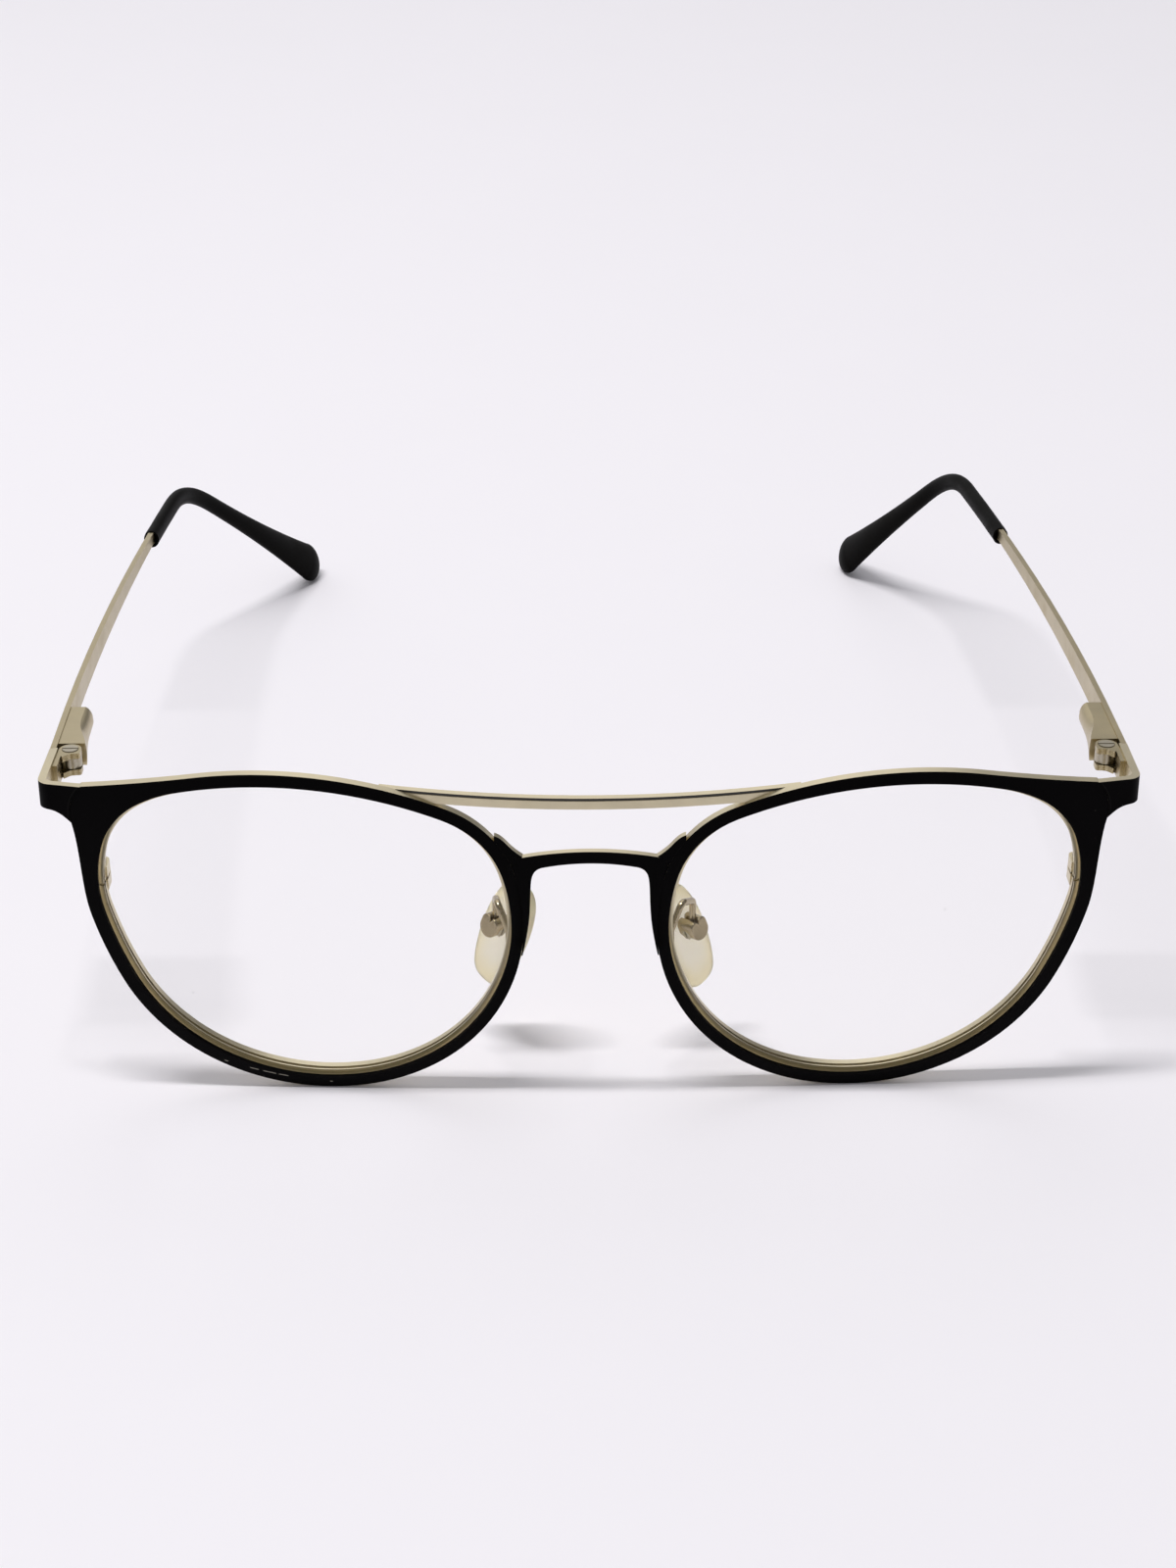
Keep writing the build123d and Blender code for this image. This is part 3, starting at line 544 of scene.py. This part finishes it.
@dataclass(frozen=True)
class LinedGold:
    """Gold with a fine black line along an arc of its front."""

    arc: Arc
    half_width: float
    gold: Gold = field(default_factory=Gold)
    line_colour: Colour = (0.012, 0.010, 0.008, 1.0)
    softness: float = 0.00003
    reach: float = 0.5
    edge: float = 0.5
    edge_softness: float = 0.1
    stretch: Triple = (0.2, 1.0, 1.0)

    def build(self, name: str, effects: Effects) -> bpy.types.Material:
        """Make the material.

        Args:
            name: the material's name.
            effects: the shared effects.

        Returns:
            The material.
        """
        material, graph, shader = start_material(name)
        centre, radius = self.arc.circle()
        line = effects.arc_line.place(
            graph, Centre=(centre[0], 0.0, centre[1]), Radius=radius,
            Half_Width=self.half_width, Softness=self.softness, Reach=self.reach,
        )
        facing = effects.facing.place(graph, Edge=self.edge, Softness=self.edge_softness)
        # Mask of a fine black, non-metallic line along the arc, where the bar faces ahead.
        lined = graph.maths("MULTIPLY", line["Mask"], facing["Mask"])
        grain = effects.satin.place(graph, Stretch=self.stretch, Scale=self.gold.scale)
        marks = effects.handling.place(graph)
        tone = graph.mix(grain["Value"], self.gold.colour, self.gold.worn)
        graph.link(graph.mix(lined, tone, self.line_colour), shader.inputs["Base Color"])
        graph.link(graph.maths("SUBTRACT", 1.0, lined, clamp=True), shader.inputs["Metallic"])
        rough = graph.maths("MULTIPLY_ADD", marks["Smudge"], self.gold.spread, self.gold.roughness)
        graph.link(rough, shader.inputs["Roughness"])
        add_bump(graph, shader, grain["Height"], self.gold.relief, self.gold.relief_share)
        return material


@dataclass(frozen=True)
class Steel:
    """Plated steel of screws, pins and springs."""

    colour: Colour = (0.52, 0.47, 0.36, 1.0)
    dark: Colour = (0.36, 0.33, 0.27, 1.0)
    speck: Colour = (0.1, 0.08, 0.05, 1.0)
    roughness: float = 0.26
    spread: float = 0.12
    grain_scale: float = 7000.0
    speck_share: float = 0.06
    relief: float = 0.00001
    relief_share: float = 0.4

    def build(self, name: str, effects: Effects) -> bpy.types.Material:
        """Make the material.

        Args:
            name: the material's name.
            effects: the shared effects.

        Returns:
            The material.
        """
        material, graph, shader = start_material(name)
        shader.inputs["Metallic"].default_value = 1.0
        grain = effects.satin.place(graph, Scale=self.grain_scale)
        marks = effects.handling.place(graph, Speck_Share=self.speck_share)
        tone = graph.mix(grain["Value"], self.colour, self.dark)
        graph.link(graph.mix(marks["Speck"], tone, self.speck), shader.inputs["Base Color"])
        rough = graph.maths("MULTIPLY_ADD", grain["Value"], self.spread, self.roughness)
        graph.link(rough, shader.inputs["Roughness"])
        add_bump(graph, shader, grain["Height"], self.relief, self.relief_share)
        return material


@dataclass(frozen=True)
class Sleeve:
    """Satin black acetate of the temple tips."""

    colour: Colour = (0.0018, 0.0016, 0.0013, 1.0)
    dusty: Colour = (0.010, 0.0092, 0.0072, 1.0)
    roughness: float = 0.42
    spread: float = 0.14
    specular: float = 0.03
    grain_scale: float = 3000.0
    smudge_scale: float = 120.0
    smudge_show: float = 0.25
    speck_share: float = 0.05
    relief: float = 0.00001
    relief_share: float = 0.2

    def build(self, name: str, effects: Effects) -> bpy.types.Material:
        """Make the material.

        Args:
            name: the material's name.
            effects: the shared effects.

        Returns:
            The material.
        """
        material, graph, shader = start_material(name)
        grain = effects.satin.place(graph, Scale=self.grain_scale)
        marks = effects.handling.place(
            graph, Smudge_Scale=self.smudge_scale, Speck_Share=self.speck_share)
        smudged = graph.maths("MULTIPLY", marks["Smudge"], self.smudge_show)
        tone = graph.mix(smudged, self.colour, self.dusty)
        graph.link(graph.mix(marks["Speck"], tone, self.dusty), shader.inputs["Base Color"])
        rough = graph.maths("MULTIPLY_ADD", marks["Smudge"], self.spread, self.roughness)
        graph.link(rough, shader.inputs["Roughness"])
        shader.inputs["Specular IOR Level"].default_value = self.specular
        add_bump(graph, shader, grain["Height"], self.relief, self.relief_share)
        return material


@dataclass(frozen=True)
class PadRubber:
    """Translucent ivory silicone, paler in the middle and yellower at the rim."""

    pale: Colour = (0.99, 0.94, 0.82, 1.0)
    rim: Colour = (0.96, 0.86, 0.60, 1.0)
    roughness: float = 0.36
    spread: float = 0.15
    rim_start: float = 0.45
    clouding: float = 0.3
    grain_scale: float = 2500.0
    smudge_scale: float = 300.0
    speck_share: float = 0.02
    subsurface: float = 0.8
    subsurface_radius: Triple = (1.0, 0.92, 0.75)
    subsurface_depth: float = 0.003
    transmission: float = 0.75
    ior: float = 1.41
    relief: float = 0.00002
    relief_share: float = 0.15

    def build(self, name: str, effects: Effects) -> bpy.types.Material:
        """Make the material: the colour goes from the middle to the rim with the piece's UV.

        Args:
            name: the material's name.
            effects: the shared effects.

        Returns:
            The material.
        """
        material, graph, shader = start_material(name)
        spread = graph.add("ShaderNodeUVMap", uv_map="across").outputs[0]
        parts = graph.add("ShaderNodeSeparateXYZ")
        graph.link(spread, parts.inputs[0])
        grain = effects.satin.place(graph, Scale=self.grain_scale)
        marks = effects.handling.place(
            graph, Smudge_Scale=self.smudge_scale, Speck_Share=self.speck_share)
        outward = graph.ramp(parts.outputs["Y"], self.rim_start, 1.0)
        cloudy = graph.maths("MULTIPLY_ADD", grain["Value"], self.clouding, outward, clamp=True)
        graph.link(graph.mix(cloudy, self.pale, self.rim), shader.inputs["Base Color"])
        rough = graph.maths("MULTIPLY_ADD", marks["Smudge"], self.spread, self.roughness)
        graph.link(rough, shader.inputs["Roughness"])
        shader.inputs["Subsurface Weight"].default_value = self.subsurface
        shader.inputs["Subsurface Radius"].default_value = self.subsurface_radius
        shader.inputs["Subsurface Scale"].default_value = self.subsurface_depth
        shader.inputs["Transmission Weight"].default_value = self.transmission
        shader.inputs["IOR"].default_value = self.ior
        add_bump(graph, shader, grain["Height"], self.relief, self.relief_share)
        return material


@dataclass(frozen=True)
class ClearLens:
    """Clear lens: nearly nothing head on, a sheen at a grazing angle, faint smudges."""

    colour: Colour = (0.93, 0.95, 0.95, 1.0)
    least: float = 0.015
    most: float = 0.30
    sheen_start: float = 0.55
    edge_blend: float = 0.25
    roughness: float = 0.02
    spread: float = 0.05
    specular: float = 0.6
    smudge_scale: float = 60.0
    speck_scale: float = 700.0
    speck_share: float = 0.004
    speck_show: float = 0.10

    def build(self, name: str, effects: Effects) -> bpy.types.Material:
        """Make the material.

        Args:
            name: the material's name.
            effects: the shared effects.

        Returns:
            The material.
        """
        material, graph, shader = start_material(name)
        marks = effects.handling.place(
            graph, Smudge_Scale=self.smudge_scale, Speck_Share=self.speck_share,
            Speck_Scale=self.speck_scale,
        )
        shader.inputs["Base Color"].default_value = self.colour
        rough = graph.maths("MULTIPLY_ADD", marks["Smudge"], self.spread, self.roughness)
        graph.link(rough, shader.inputs["Roughness"])
        edge_on = graph.add("ShaderNodeLayerWeight")
        edge_on.inputs["Blend"].default_value = self.edge_blend
        facing = edge_on.outputs["Facing"]
        sheen = graph.ramp(facing, self.sheen_start, 1.0, self.least, self.most)
        # Alpha: a painted sheen, whitish and rising at grazing angles, plus real dust specks.
        dusty = graph.maths("MULTIPLY_ADD", marks["Speck"], self.speck_show, sheen, clamp=True)
        graph.link(dusty, shader.inputs["Alpha"])
        shader.inputs["Specular IOR Level"].default_value = self.specular
        return material


def start_material(name: str) -> tuple[bpy.types.Material, Graph, bpy.types.Node]:
    """Make a material with one Principled shader.

    Args:
        name: the material's name.

    Returns:
        The material, its graph and the shader.
    """
    material = bpy.data.materials.new(name)
    material.use_nodes = True
    graph = Graph(material.node_tree)
    return material, graph, material.node_tree.nodes["Principled BSDF"]


def add_bump(graph: Graph, shader: bpy.types.Node, height: bpy.types.NodeSocket,
             distance: float, strength: float) -> None:
    """Raise fine relief on a shader.

    Args:
        graph: the material's graph.
        shader: the shader that gets it.
        height: the relief's height, from 0 to 1.
        distance: height of 1, in metres.
        strength: share of the relief that shows.
    """
    bump = graph.add("ShaderNodeBump")
    bump.inputs["Distance"].default_value = distance
    bump.inputs["Strength"].default_value = strength
    graph.link(height, bump.inputs["Height"])
    graph.link(bump.outputs["Normal"], shader.inputs["Normal"])


def dress(node: str, material: bpy.types.Material) -> None:
    """Give a CAD node one material.

    Args:
        node: the node's name.
        material: its finish.
    """
    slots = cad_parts[node].data.materials
    slots.clear()
    slots.append(material)


def closed_surface(name: str, points: np.ndarray, material: bpy.types.Material,
                   across: np.ndarray | None = None) -> bpy.types.Object:
    """Make a closed piece from a grid that goes round in one way and pole to pole in the other.

    The first and last rows of the grid are poles, so each is merged into one point. Quads
    join neighbouring rows, and fans of triangles join the rows next to the poles.

    Args:
        name: the piece's name.
        points: array of rows by columns by 3, in metres, columns going round.
        material: its finish.
        across: value from 0 to 1 for each row, kept as a UV map.

    Returns:
        The piece.
    """
    rows, columns = points.shape[:2]
    inner = points[1:-1].reshape(-1, 3)
    poles = np.array([points[0].mean(axis=0), points[-1].mean(axis=0)])
    vertices = np.vstack([inner, poles])
    ring = np.arange(columns)
    after = (ring + 1) % columns
    start = (np.arange(rows - 3) * columns)[:, None]
    quads = np.stack(
        [start + ring, start + after, start + columns + after, start + columns + ring], axis=-1
    ).reshape(-1, 4)
    low, high = len(inner), len(inner) + 1
    last = (rows - 3) * columns
    near = np.stack([after, ring, np.full(columns, low)], axis=-1)
    far = np.stack([last + ring, last + after, np.full(columns, high)], axis=-1)
    mesh = bpy.data.meshes.new(name)
    mesh.from_pydata(vertices.tolist(), [], quads.tolist() + near.tolist() + far.tolist())
    if across is not None:
        levels = np.concatenate([np.repeat(across[1:-1], columns), across[[0, -1]]])
        corners = np.empty(len(mesh.loops), np.int32)
        mesh.loops.foreach_get("vertex_index", corners)
        uv = mesh.uv_layers.new(name="across")
        spread = np.column_stack([np.zeros(len(corners)), levels[corners]])
        uv.data.foreach_set("uv", spread.ravel())
    mesh.polygons.foreach_set("use_smooth", np.ones(len(mesh.polygons), bool))
    mesh.update()
    mesh.materials.append(material)
    piece = bpy.data.objects.new(name, mesh)
    bpy.context.scene.collection.objects.link(piece)
    return piece


def turn(axis: str, degrees: float) -> np.ndarray:
    """Rotation matrix about one axis.

    Args:
        axis: X, Y or Z.
        degrees: the angle.

    Returns:
        A 3 by 3 matrix.
    """
    return np.array(Matrix.Rotation(math.radians(degrees), 3, axis))


@dataclass
class NosePad:
    """One soft nose pad with its lug, in millimetres and degrees.

    The powers shape the way from pole to pole: a smaller one gives a flatter face and a
    tighter edge.
    """

    side: Side
    out: float
    up: float
    shift: Triple = (0.141473, -73.495, 0.0)
    back: float = 12.25
    splay: float = 47.0
    frontal: float = 15.0
    lean: float = 12.0
    length: float = 16.1
    width: float = 7.0
    thickness: float = 2.4
    outline: tuple[Pair, ...] = (
        (0.0, 1.0), (0.68, 0.85), (1.0, 0.35), (0.98, -0.3), (0.66, -0.87),
        (0.0, -1.0), (-0.66, -0.87), (-0.98, -0.3), (-1.0, 0.35), (-0.68, 0.85),
    )
    rim_power: float = 0.55
    face_power: float = 0.62
    dish_depth: float = 0.16
    lug_up: float = 2.0
    lug_reach: float = 1.5
    lug_half: float = 0.68
    lug_waist: float = 0.7
    lug_thickness: float = 1.16
    lug_edge_power: float = 0.3
    lug_cheek_power: float = 0.6
    lug_tone: float = 0.3

    def world(self, local: np.ndarray) -> np.ndarray:
        """Place points of the pad's own frame in the glasses' frame.

        Args:
            local: array of points in millimetres, X across, Y through and Z along the pad.

        Returns:
            The points in metres, mirrored on the wearer's right.
        """
        turned = local @ (
            turn("Z", self.splay) @ turn("Y", -self.frontal) @ turn("X", -self.lean)
        ).T
        placed = turned + np.array([self.out, self.back, self.up])
        placed[..., 0] *= self.side.sign
        return (placed + np.array(self.shift)) * MM

    def rim(self, columns: int) -> np.ndarray:
        """Outline as a closed smooth curve: each stretch is a cubic set by its four nearest points.

        Args:
            columns: number of points that are wanted.

        Returns:
            Array of columns by 2, in shares of the half width and half length.
        """
        knots = np.array(self.outline)
        place = np.arange(columns) / columns * len(knots)
        index = place.astype(int)
        t = (place - index)[:, None]
        a, b, c, d = (knots[(index + step) % len(knots)] for step in (-1, 0, 1, 2))
        return 0.5 * (
            2 * b + (c - a) * t + (2 * a - 5 * b + 4 * c - d) * t**2
            + (3 * b - a - 3 * c + d) * t**3
        )

    def body(self, rows: int = 40, columns: int = 96) -> tuple[np.ndarray, np.ndarray]:
        """Pad as a surface: the outline shrinks to both faces like a flattened ellipse.

        Going from pole to pole by an angle, the radius is the sine to a small power and the
        depth is the cosine to a larger one, so the faces stay flat and the rim is round. The
        face on the nose is crowned, and the face at the clip is dished a little.

        Args:
            rows: number of rows from pole to pole.
            columns: number of points round.

        Returns:
            The grid in metres, and each row's share of the way out.
        """
        angle = np.linspace(0.0, math.pi, rows)[:, None]
        radius = np.sin(angle) ** self.rim_power
        radius[[0, -1]] = 0.0
        cosine = np.cos(angle)
        depth = -np.sign(cosine) * np.abs(cosine) ** self.face_power
        rim = self.rim(columns)
        x = radius * rim[:, 0] * self.width / 2
        z = radius * rim[:, 1] * self.length / 2
        dish = self.dish_depth * (1.0 - radius**2) * np.where(depth < 0, 1.0, 0.0)
        y = np.broadcast_to(depth * self.thickness / 2 + dish, x.shape)
        return self.world(np.stack([x, y, z], axis=-1)), radius[:, 0]

    def lug(self, rows: int = 20, columns: int = 72) -> np.ndarray:
        """Lug as a rounded slab whose outline is a keyhole: a round eye and a narrower stem.

        Round the eye's axis, the outline's radius is the eye's own or the way to the stem's
        edge, whichever is more. From cheek to cheek it swells as the sine to a small power.

        Args:
            rows: number of rows from pole to pole.
            columns: number of points round.

        Returns:
            The grid in metres.
        """
        angle = np.linspace(0.0, math.pi, rows)[:, None]
        around = np.linspace(0.0, 2 * math.pi, columns, endpoint=False)[None, :]
        eye_depth = -self.thickness / 2 - self.lug_reach
        tiny = 1e-6
        to_edge = self.lug_half * self.lug_waist / np.maximum(np.abs(np.sin(around)), tiny)
        to_end = -eye_depth / np.maximum(np.cos(around), tiny)
        stem = np.where(np.cos(around) > 0.0, np.minimum(to_edge, to_end), 0.0)
        outline = np.maximum(self.lug_half, stem)
        swell = np.sin(angle) ** self.lug_edge_power
        swell[[0, -1]] = 0.0
        cosine = np.cos(angle)
        cheek = -np.sign(cosine) * np.abs(cosine) ** self.lug_cheek_power
        x = cheek * self.lug_thickness / 2 + np.zeros_like(around)
        y = eye_depth + swell * outline * np.cos(around)
        z = self.lug_up + swell * outline * np.sin(around)
        return self.world(np.stack([x, y, z], axis=-1))

    def build(self, material: bpy.types.Material) -> bpy.types.Object:
        """Make the pad and let it stand for its CAD node.

        Args:
            material: the pad's finish.

        Returns:
            The piece.
        """
        grid, across = self.body()
        lug = self.lug()
        if self.side is Side.RIGHT:
            grid, lug = grid[:, ::-1], lug[:, ::-1]
        name = self.side.word + "_pad_body"
        piece = closed_surface(name, grid, material, across)
        tone = np.full(len(lug), self.lug_tone)
        peg = closed_surface(self.side.word + "_pad_lug", lug, material, tone)
        for made in (piece, peg):
            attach(made, self.side.word + "_pad")
        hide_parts(self.side.word + "_nose_pad")
        log.info("%s replaces the plain pad", name)
        return piece


@dataclass
class Front:
    """Rims, bridges, end pieces and what is fixed to them, lengths in millimetres."""

    effects: Effects
    coat: BlackCoat = field(default_factory=BlackCoat)
    gold: Gold = field(default_factory=Gold)
    # Darker copy of the front's gold plating for the pad arms and clips: the darker colour is
    # painted shade.
    shaded_fittings_gold: Gold = Gold((0.46, 0.385, 0.25, 1.0), (0.30, 0.245, 0.155, 1.0), 0.20, 0.10)
    # Darker copy of the front's gold plating for the hinge forks: the darker colour is painted
    # shade.
    shaded_fork_gold: Gold = Gold((0.50, 0.425, 0.265, 1.0), (0.36, 0.30, 0.18, 1.0), 0.26, 0.10)
    middle: float = 0.141473
    seam_points: tuple[Pair, ...] = ((26.8, 20.05), (28.15, 17.85), (28.3, 15.05))
    centre_out: float = 35.4
    front_back: float = -73.495
    face_form: float = 2.5
    ball_radius: float = 130.0
    lip_depth: float = 0.6
    centre_up: float = 23.6815
    bar_rise: float = 20.25
    bar_sag: float = 1.2
    bar_half_span: float = 25.5
    line_height: float = 0.3
    chip_points: tuple[Pair, ...] = ((-33.5, 1.0), (-40.1, 2.1), (-45.2, 3.5))
    front_edge: float = 0.72
    corner_edge: float = 0.45

    def seam(self, side: Side) -> Arc:
        """Arc of the seam between a rim and its end piece, seen from the front.

        Args:
            side: which side.

        Returns:
            The arc in metres.
        """
        points = [
            ((side.sign * (self.centre_out + x) + self.middle) * MM, (self.centre_up + z) * MM)
            for x, z in self.seam_points
        ]
        return Arc(*points)

    def lip(self, side: Side) -> Lip:
        """Front lip of one opening: the ball's centre lies behind the turned front.

        Args:
            side: which side.

        Returns:
            The lip in metres.
        """
        form = math.radians(self.face_form)
        out = self.centre_out - self.ball_radius * math.sin(form)
        ball = (
            (side.sign * out + self.middle) * MM,
            (self.front_back + self.ball_radius * math.cos(form)) * MM,
            self.centre_up * MM,
        )
        opening = ((side.sign * self.centre_out + self.middle) * MM, self.centre_up * MM)
        return Lip(opening, ball, (self.ball_radius - self.lip_depth) * MM)

    def chips(self) -> Arc:
        """Arc along which the coating is chipped, low on the wearer's right rim."""
        return Arc(*((x * MM, z * MM) for x, z in self.chip_points))

    def bar_line(self) -> Arc:
        """Arc of the black line along the top of the bar's front."""
        drop = self.line_height / 2
        ends = (self.centre_up + self.bar_rise + self.bar_sag - drop) * MM
        low = (self.centre_up + self.bar_rise - drop) * MM
        half = self.bar_half_span * MM
        middle = self.middle * MM
        return Arc((middle - half, ends), (middle, low), (middle + half, ends))

    def build(self) -> None:
        """Dress the pieces of the front."""
        coat = self.coat.build("black_coat_front", self.effects, AHEAD, self.front_edge)
        plate = self.gold.build("gold_plate_front", self.effects)
        shaded_fittings_gold = self.shaded_fittings_gold.build("gold_plate_fittings_painted_shade", self.effects)
        shaded_fork_gold = self.shaded_fork_gold.build("gold_plate_fork_painted_shade", self.effects)
        steel = Steel().build("steel_screws", self.effects)
        line = LinedGold(self.bar_line(), self.line_height / 2 * MM, self.gold)
        dress("upper_bar", line.build("gold_with_black_line", self.effects))
        dress("lower_bridge", coat)
        slant = math.sqrt(0.5)
        for side in Side:
            word = side.word + "_"
            rim = self.coat.build(
                word + "rim_coat", self.effects, AHEAD, self.front_edge, (self.seam(side),),
                self.lip(side), self.chips() if side is Side.RIGHT else None,
            )
            corner = self.coat.build(
                word + "corner_coat", self.effects, (slant * side.sign, -slant, 0.0),
                self.corner_edge, (self.seam(side),),
            )
            dress(word + "rim", rim)
            dress(word + "end_piece", corner)
            for node in ("eyewire", "closing_block_upper", "closing_block_lower"):
                dress(word + node, plate)
            dress(word + "hinge_fork", shaded_fork_gold)
            for node in ("pad_arm", "pad_clip"):
                dress(word + node, shaded_fittings_gold)
            for node in ("closing_screw", "hinge_screw", "pad_screw"):
                dress(word + node, steel)
            log.info("%s front dressed", side.word)


@dataclass
class Temples:
    """Strips, spring boxes and sleeves of both temples."""

    effects: Effects
    # Darker copy of the front's gold plating for the strips and spring boxes: the darker colour is
    # painted shade.
    gold: Gold = Gold((0.52, 0.44, 0.275, 1.0), (0.42, 0.355, 0.22, 1.0), 0.30, 0.12)
    sleeve: Sleeve = field(default_factory=Sleeve)
    drawn: Triple = (1.0, 0.15, 1.0)

    def build(self) -> None:
        """Dress the pieces of the temples."""
        shaded_strip = self.gold.build("gold_plate_strip_painted_shade", self.effects, self.drawn)
        soft = self.sleeve.build("black_sleeve", self.effects)
        steel = Steel().build("steel_spring_parts", self.effects)
        for side in Side:
            word = side.word + "_"
            for node in ("temple", "spring_box"):
                dress(word + node, shaded_strip)
            dress(word + "temple_tip", soft)
            for node in ("hinge_slider", "spring_bush", "hinge_spring", "spring_collar"):
                dress(word + node, steel)
            log.info("%s temple dressed", side.word)


@dataclass(frozen=True)
class Lamp:
    """A soft rectangular lamp in metres and watts, its size along and across the front."""

    name: str
    place: Triple
    size: Pair
    power: float
    colour: Triple


@dataclass
class Studio:
    """Pale floor, soft lights and the camera at the photograph's place.

    The eye is in millimetres and the angles in degrees. The rest is in metres.
    """

    eye: Triple = (-2.3985, -350.085, 222.21)
    down: float = 32.31
    yaw: float = -0.47
    roll: float = -0.02
    focal: float = 63.0
    sensor: float = 36.0
    clip: Pair = (0.01, 20.0)
    floor_reach: float = 3.0
    floor_colour: Colour = (0.885, 0.868, 0.905, 1.0)
    floor_roughness: float = 0.6
    floor_specular: float = 0.12
    mottle_scale: float = 30.0
    mottle_edges: Pair = (0.3, 0.7)
    mottle_show: float = 0.25
    mottle_tone: float = 0.985
    lit_point: Triple = (0.0, -0.02, 0.02)
    sky_dark: Colour = (0.26, 0.26, 0.27, 1.0)
    sky_bright: Colour = (0.92, 0.915, 0.93, 1.0)
    sky_towards: Triple = (-0.350, 0.700, 0.622)
    sky_edges: Pair = (0.62, 0.96)
    lamps: tuple[Lamp, ...] = (
        Lamp("key", (-0.32, -0.07, 1.4), (0.70, 0.08), 12.2, (1.0, 0.985, 0.985)),
        Lamp("fill", (0.1, 0.75, 1.1), (0.9, 0.6), 1.3, (0.99, 0.98, 1.0)),
    )

    def camera(self) -> None:
        """Place the camera from its eye, tilt, yaw and roll."""
        e, w, r = (math.radians(value) for value in (self.down, self.yaw, self.roll))
        right = Vector((math.cos(w), math.sin(w), 0.0))
        level = Vector((-math.sin(w), math.cos(w), 0.0))
        ahead = level * math.cos(e) - Vector((0.0, 0.0, math.sin(e)))
        high = level * math.sin(e) + Vector((0.0, 0.0, math.cos(e)))
        side = right * math.cos(r) + high * math.sin(r)
        above = high * math.cos(r) - right * math.sin(r)
        data = bpy.data.cameras.new("camera")
        data.lens = self.focal
        data.sensor_width = self.sensor
        data.clip_start, data.clip_end = self.clip
        camera = bpy.data.objects.new("camera", data)
        basis = Matrix((side, above, -ahead)).transposed().to_4x4()
        basis.translation = Vector(self.eye) * MM
        camera.matrix_world = basis
        bpy.context.scene.collection.objects.link(camera)
        bpy.context.scene.camera = camera

    def hang(self, lamp: Lamp) -> None:
        """Hang one lamp so that it looks at the glasses.

        Its own X lies along the front of the glasses, square to the way that it looks.

        Args:
            lamp: the lamp.
        """
        data = bpy.data.lights.new(lamp.name, "AREA")
        data.shape = "RECTANGLE"
        data.size, data.size_y = lamp.size
        data.energy = lamp.power
        data.color = lamp.colour
        hung = bpy.data.objects.new(lamp.name, data)
        spot = Vector(lamp.place)
        away = (spot - Vector(self.lit_point)).normalized()
        along = Vector((1.0, 0.0, 0.0))
        along = (along - away * along.dot(away)).normalized()
        aim = Matrix((along, away.cross(along), away)).transposed().to_4x4()
        aim.translation = spot
        hung.matrix_world = aim
        bpy.context.scene.collection.objects.link(hung)

    def floor(self) -> None:
        """Lay the floor: a wide flat sheet with faint mottling."""
        reach = self.floor_reach
        mesh = bpy.data.meshes.new("floor")
        corners = [(-reach, -reach, 0.0), (reach, -reach, 0.0), (reach, reach, 0.0),
                   (-reach, reach, 0.0)]
        mesh.from_pydata(corners, [], [(0, 1, 2, 3)])
        floor = bpy.data.objects.new("floor", mesh)
        material, graph, shader = start_material("floor_paper")
        place = graph.add("ShaderNodeTexCoord").outputs["Object"]
        mottle = graph.noise(place, self.mottle_scale)
        faint = graph.ramp(mottle, *self.mottle_edges, 0.0, self.mottle_show)
        duller = tuple(value * self.mottle_tone for value in self.floor_colour[:3]) + (1.0,)
        graph.link(graph.mix(faint, self.floor_colour, duller), shader.inputs["Base Color"])
        shader.inputs["Roughness"].default_value = self.floor_roughness
        shader.inputs["Specular IOR Level"].default_value = self.floor_specular
        mesh.materials.append(material)
        bpy.context.scene.collection.objects.link(floor)

    def world(self) -> None:
        """Light the room from a broad bright patch behind on the left, and dimly elsewhere.

        The patch is where the dot product of a direction and the patch's own is high.
        """
        world = bpy.data.worlds.new("studio")
        world.use_nodes = True
        graph = Graph(world.node_tree)
        look = graph.add("ShaderNodeTexCoord").outputs["Generated"]
        dot = graph.vector("DOT_PRODUCT", look, self.sky_towards, 1)
        patch = graph.ramp(dot, *self.sky_edges)
        background = world.node_tree.nodes["Background"]
        graph.link(graph.mix(patch, self.sky_dark, self.sky_bright), background.inputs["Color"])
        bpy.context.scene.world = world

    def build(self) -> None:
        """Set up the room, lamps and camera."""
        bpy.context.scene.view_settings.view_transform = "Standard"
        self.floor()
        self.world()
        for lamp in self.lamps:
            self.hang(lamp)
        self.camera()
        log.info("studio ready")


def main() -> None:
    """Build and dress every sub-assembly."""
    effects = Effects()
    Front(effects).build()
    Temples(effects).build()
    rubber = PadRubber().build("pad_silicone", effects)
    lens = ClearLens().build("clear_lens", effects)
    pads = (NosePad(Side.LEFT, 12.1, 16.4), NosePad(Side.RIGHT, 10.9, 17.0))
    for side, pad in zip(Side, pads):
        pad.build(rubber)
        dress(side.word + "_lens", lens)
        log.info("%s lens dressed", side.word)
    Studio().build()


if __name__ == "__main__":
    main()
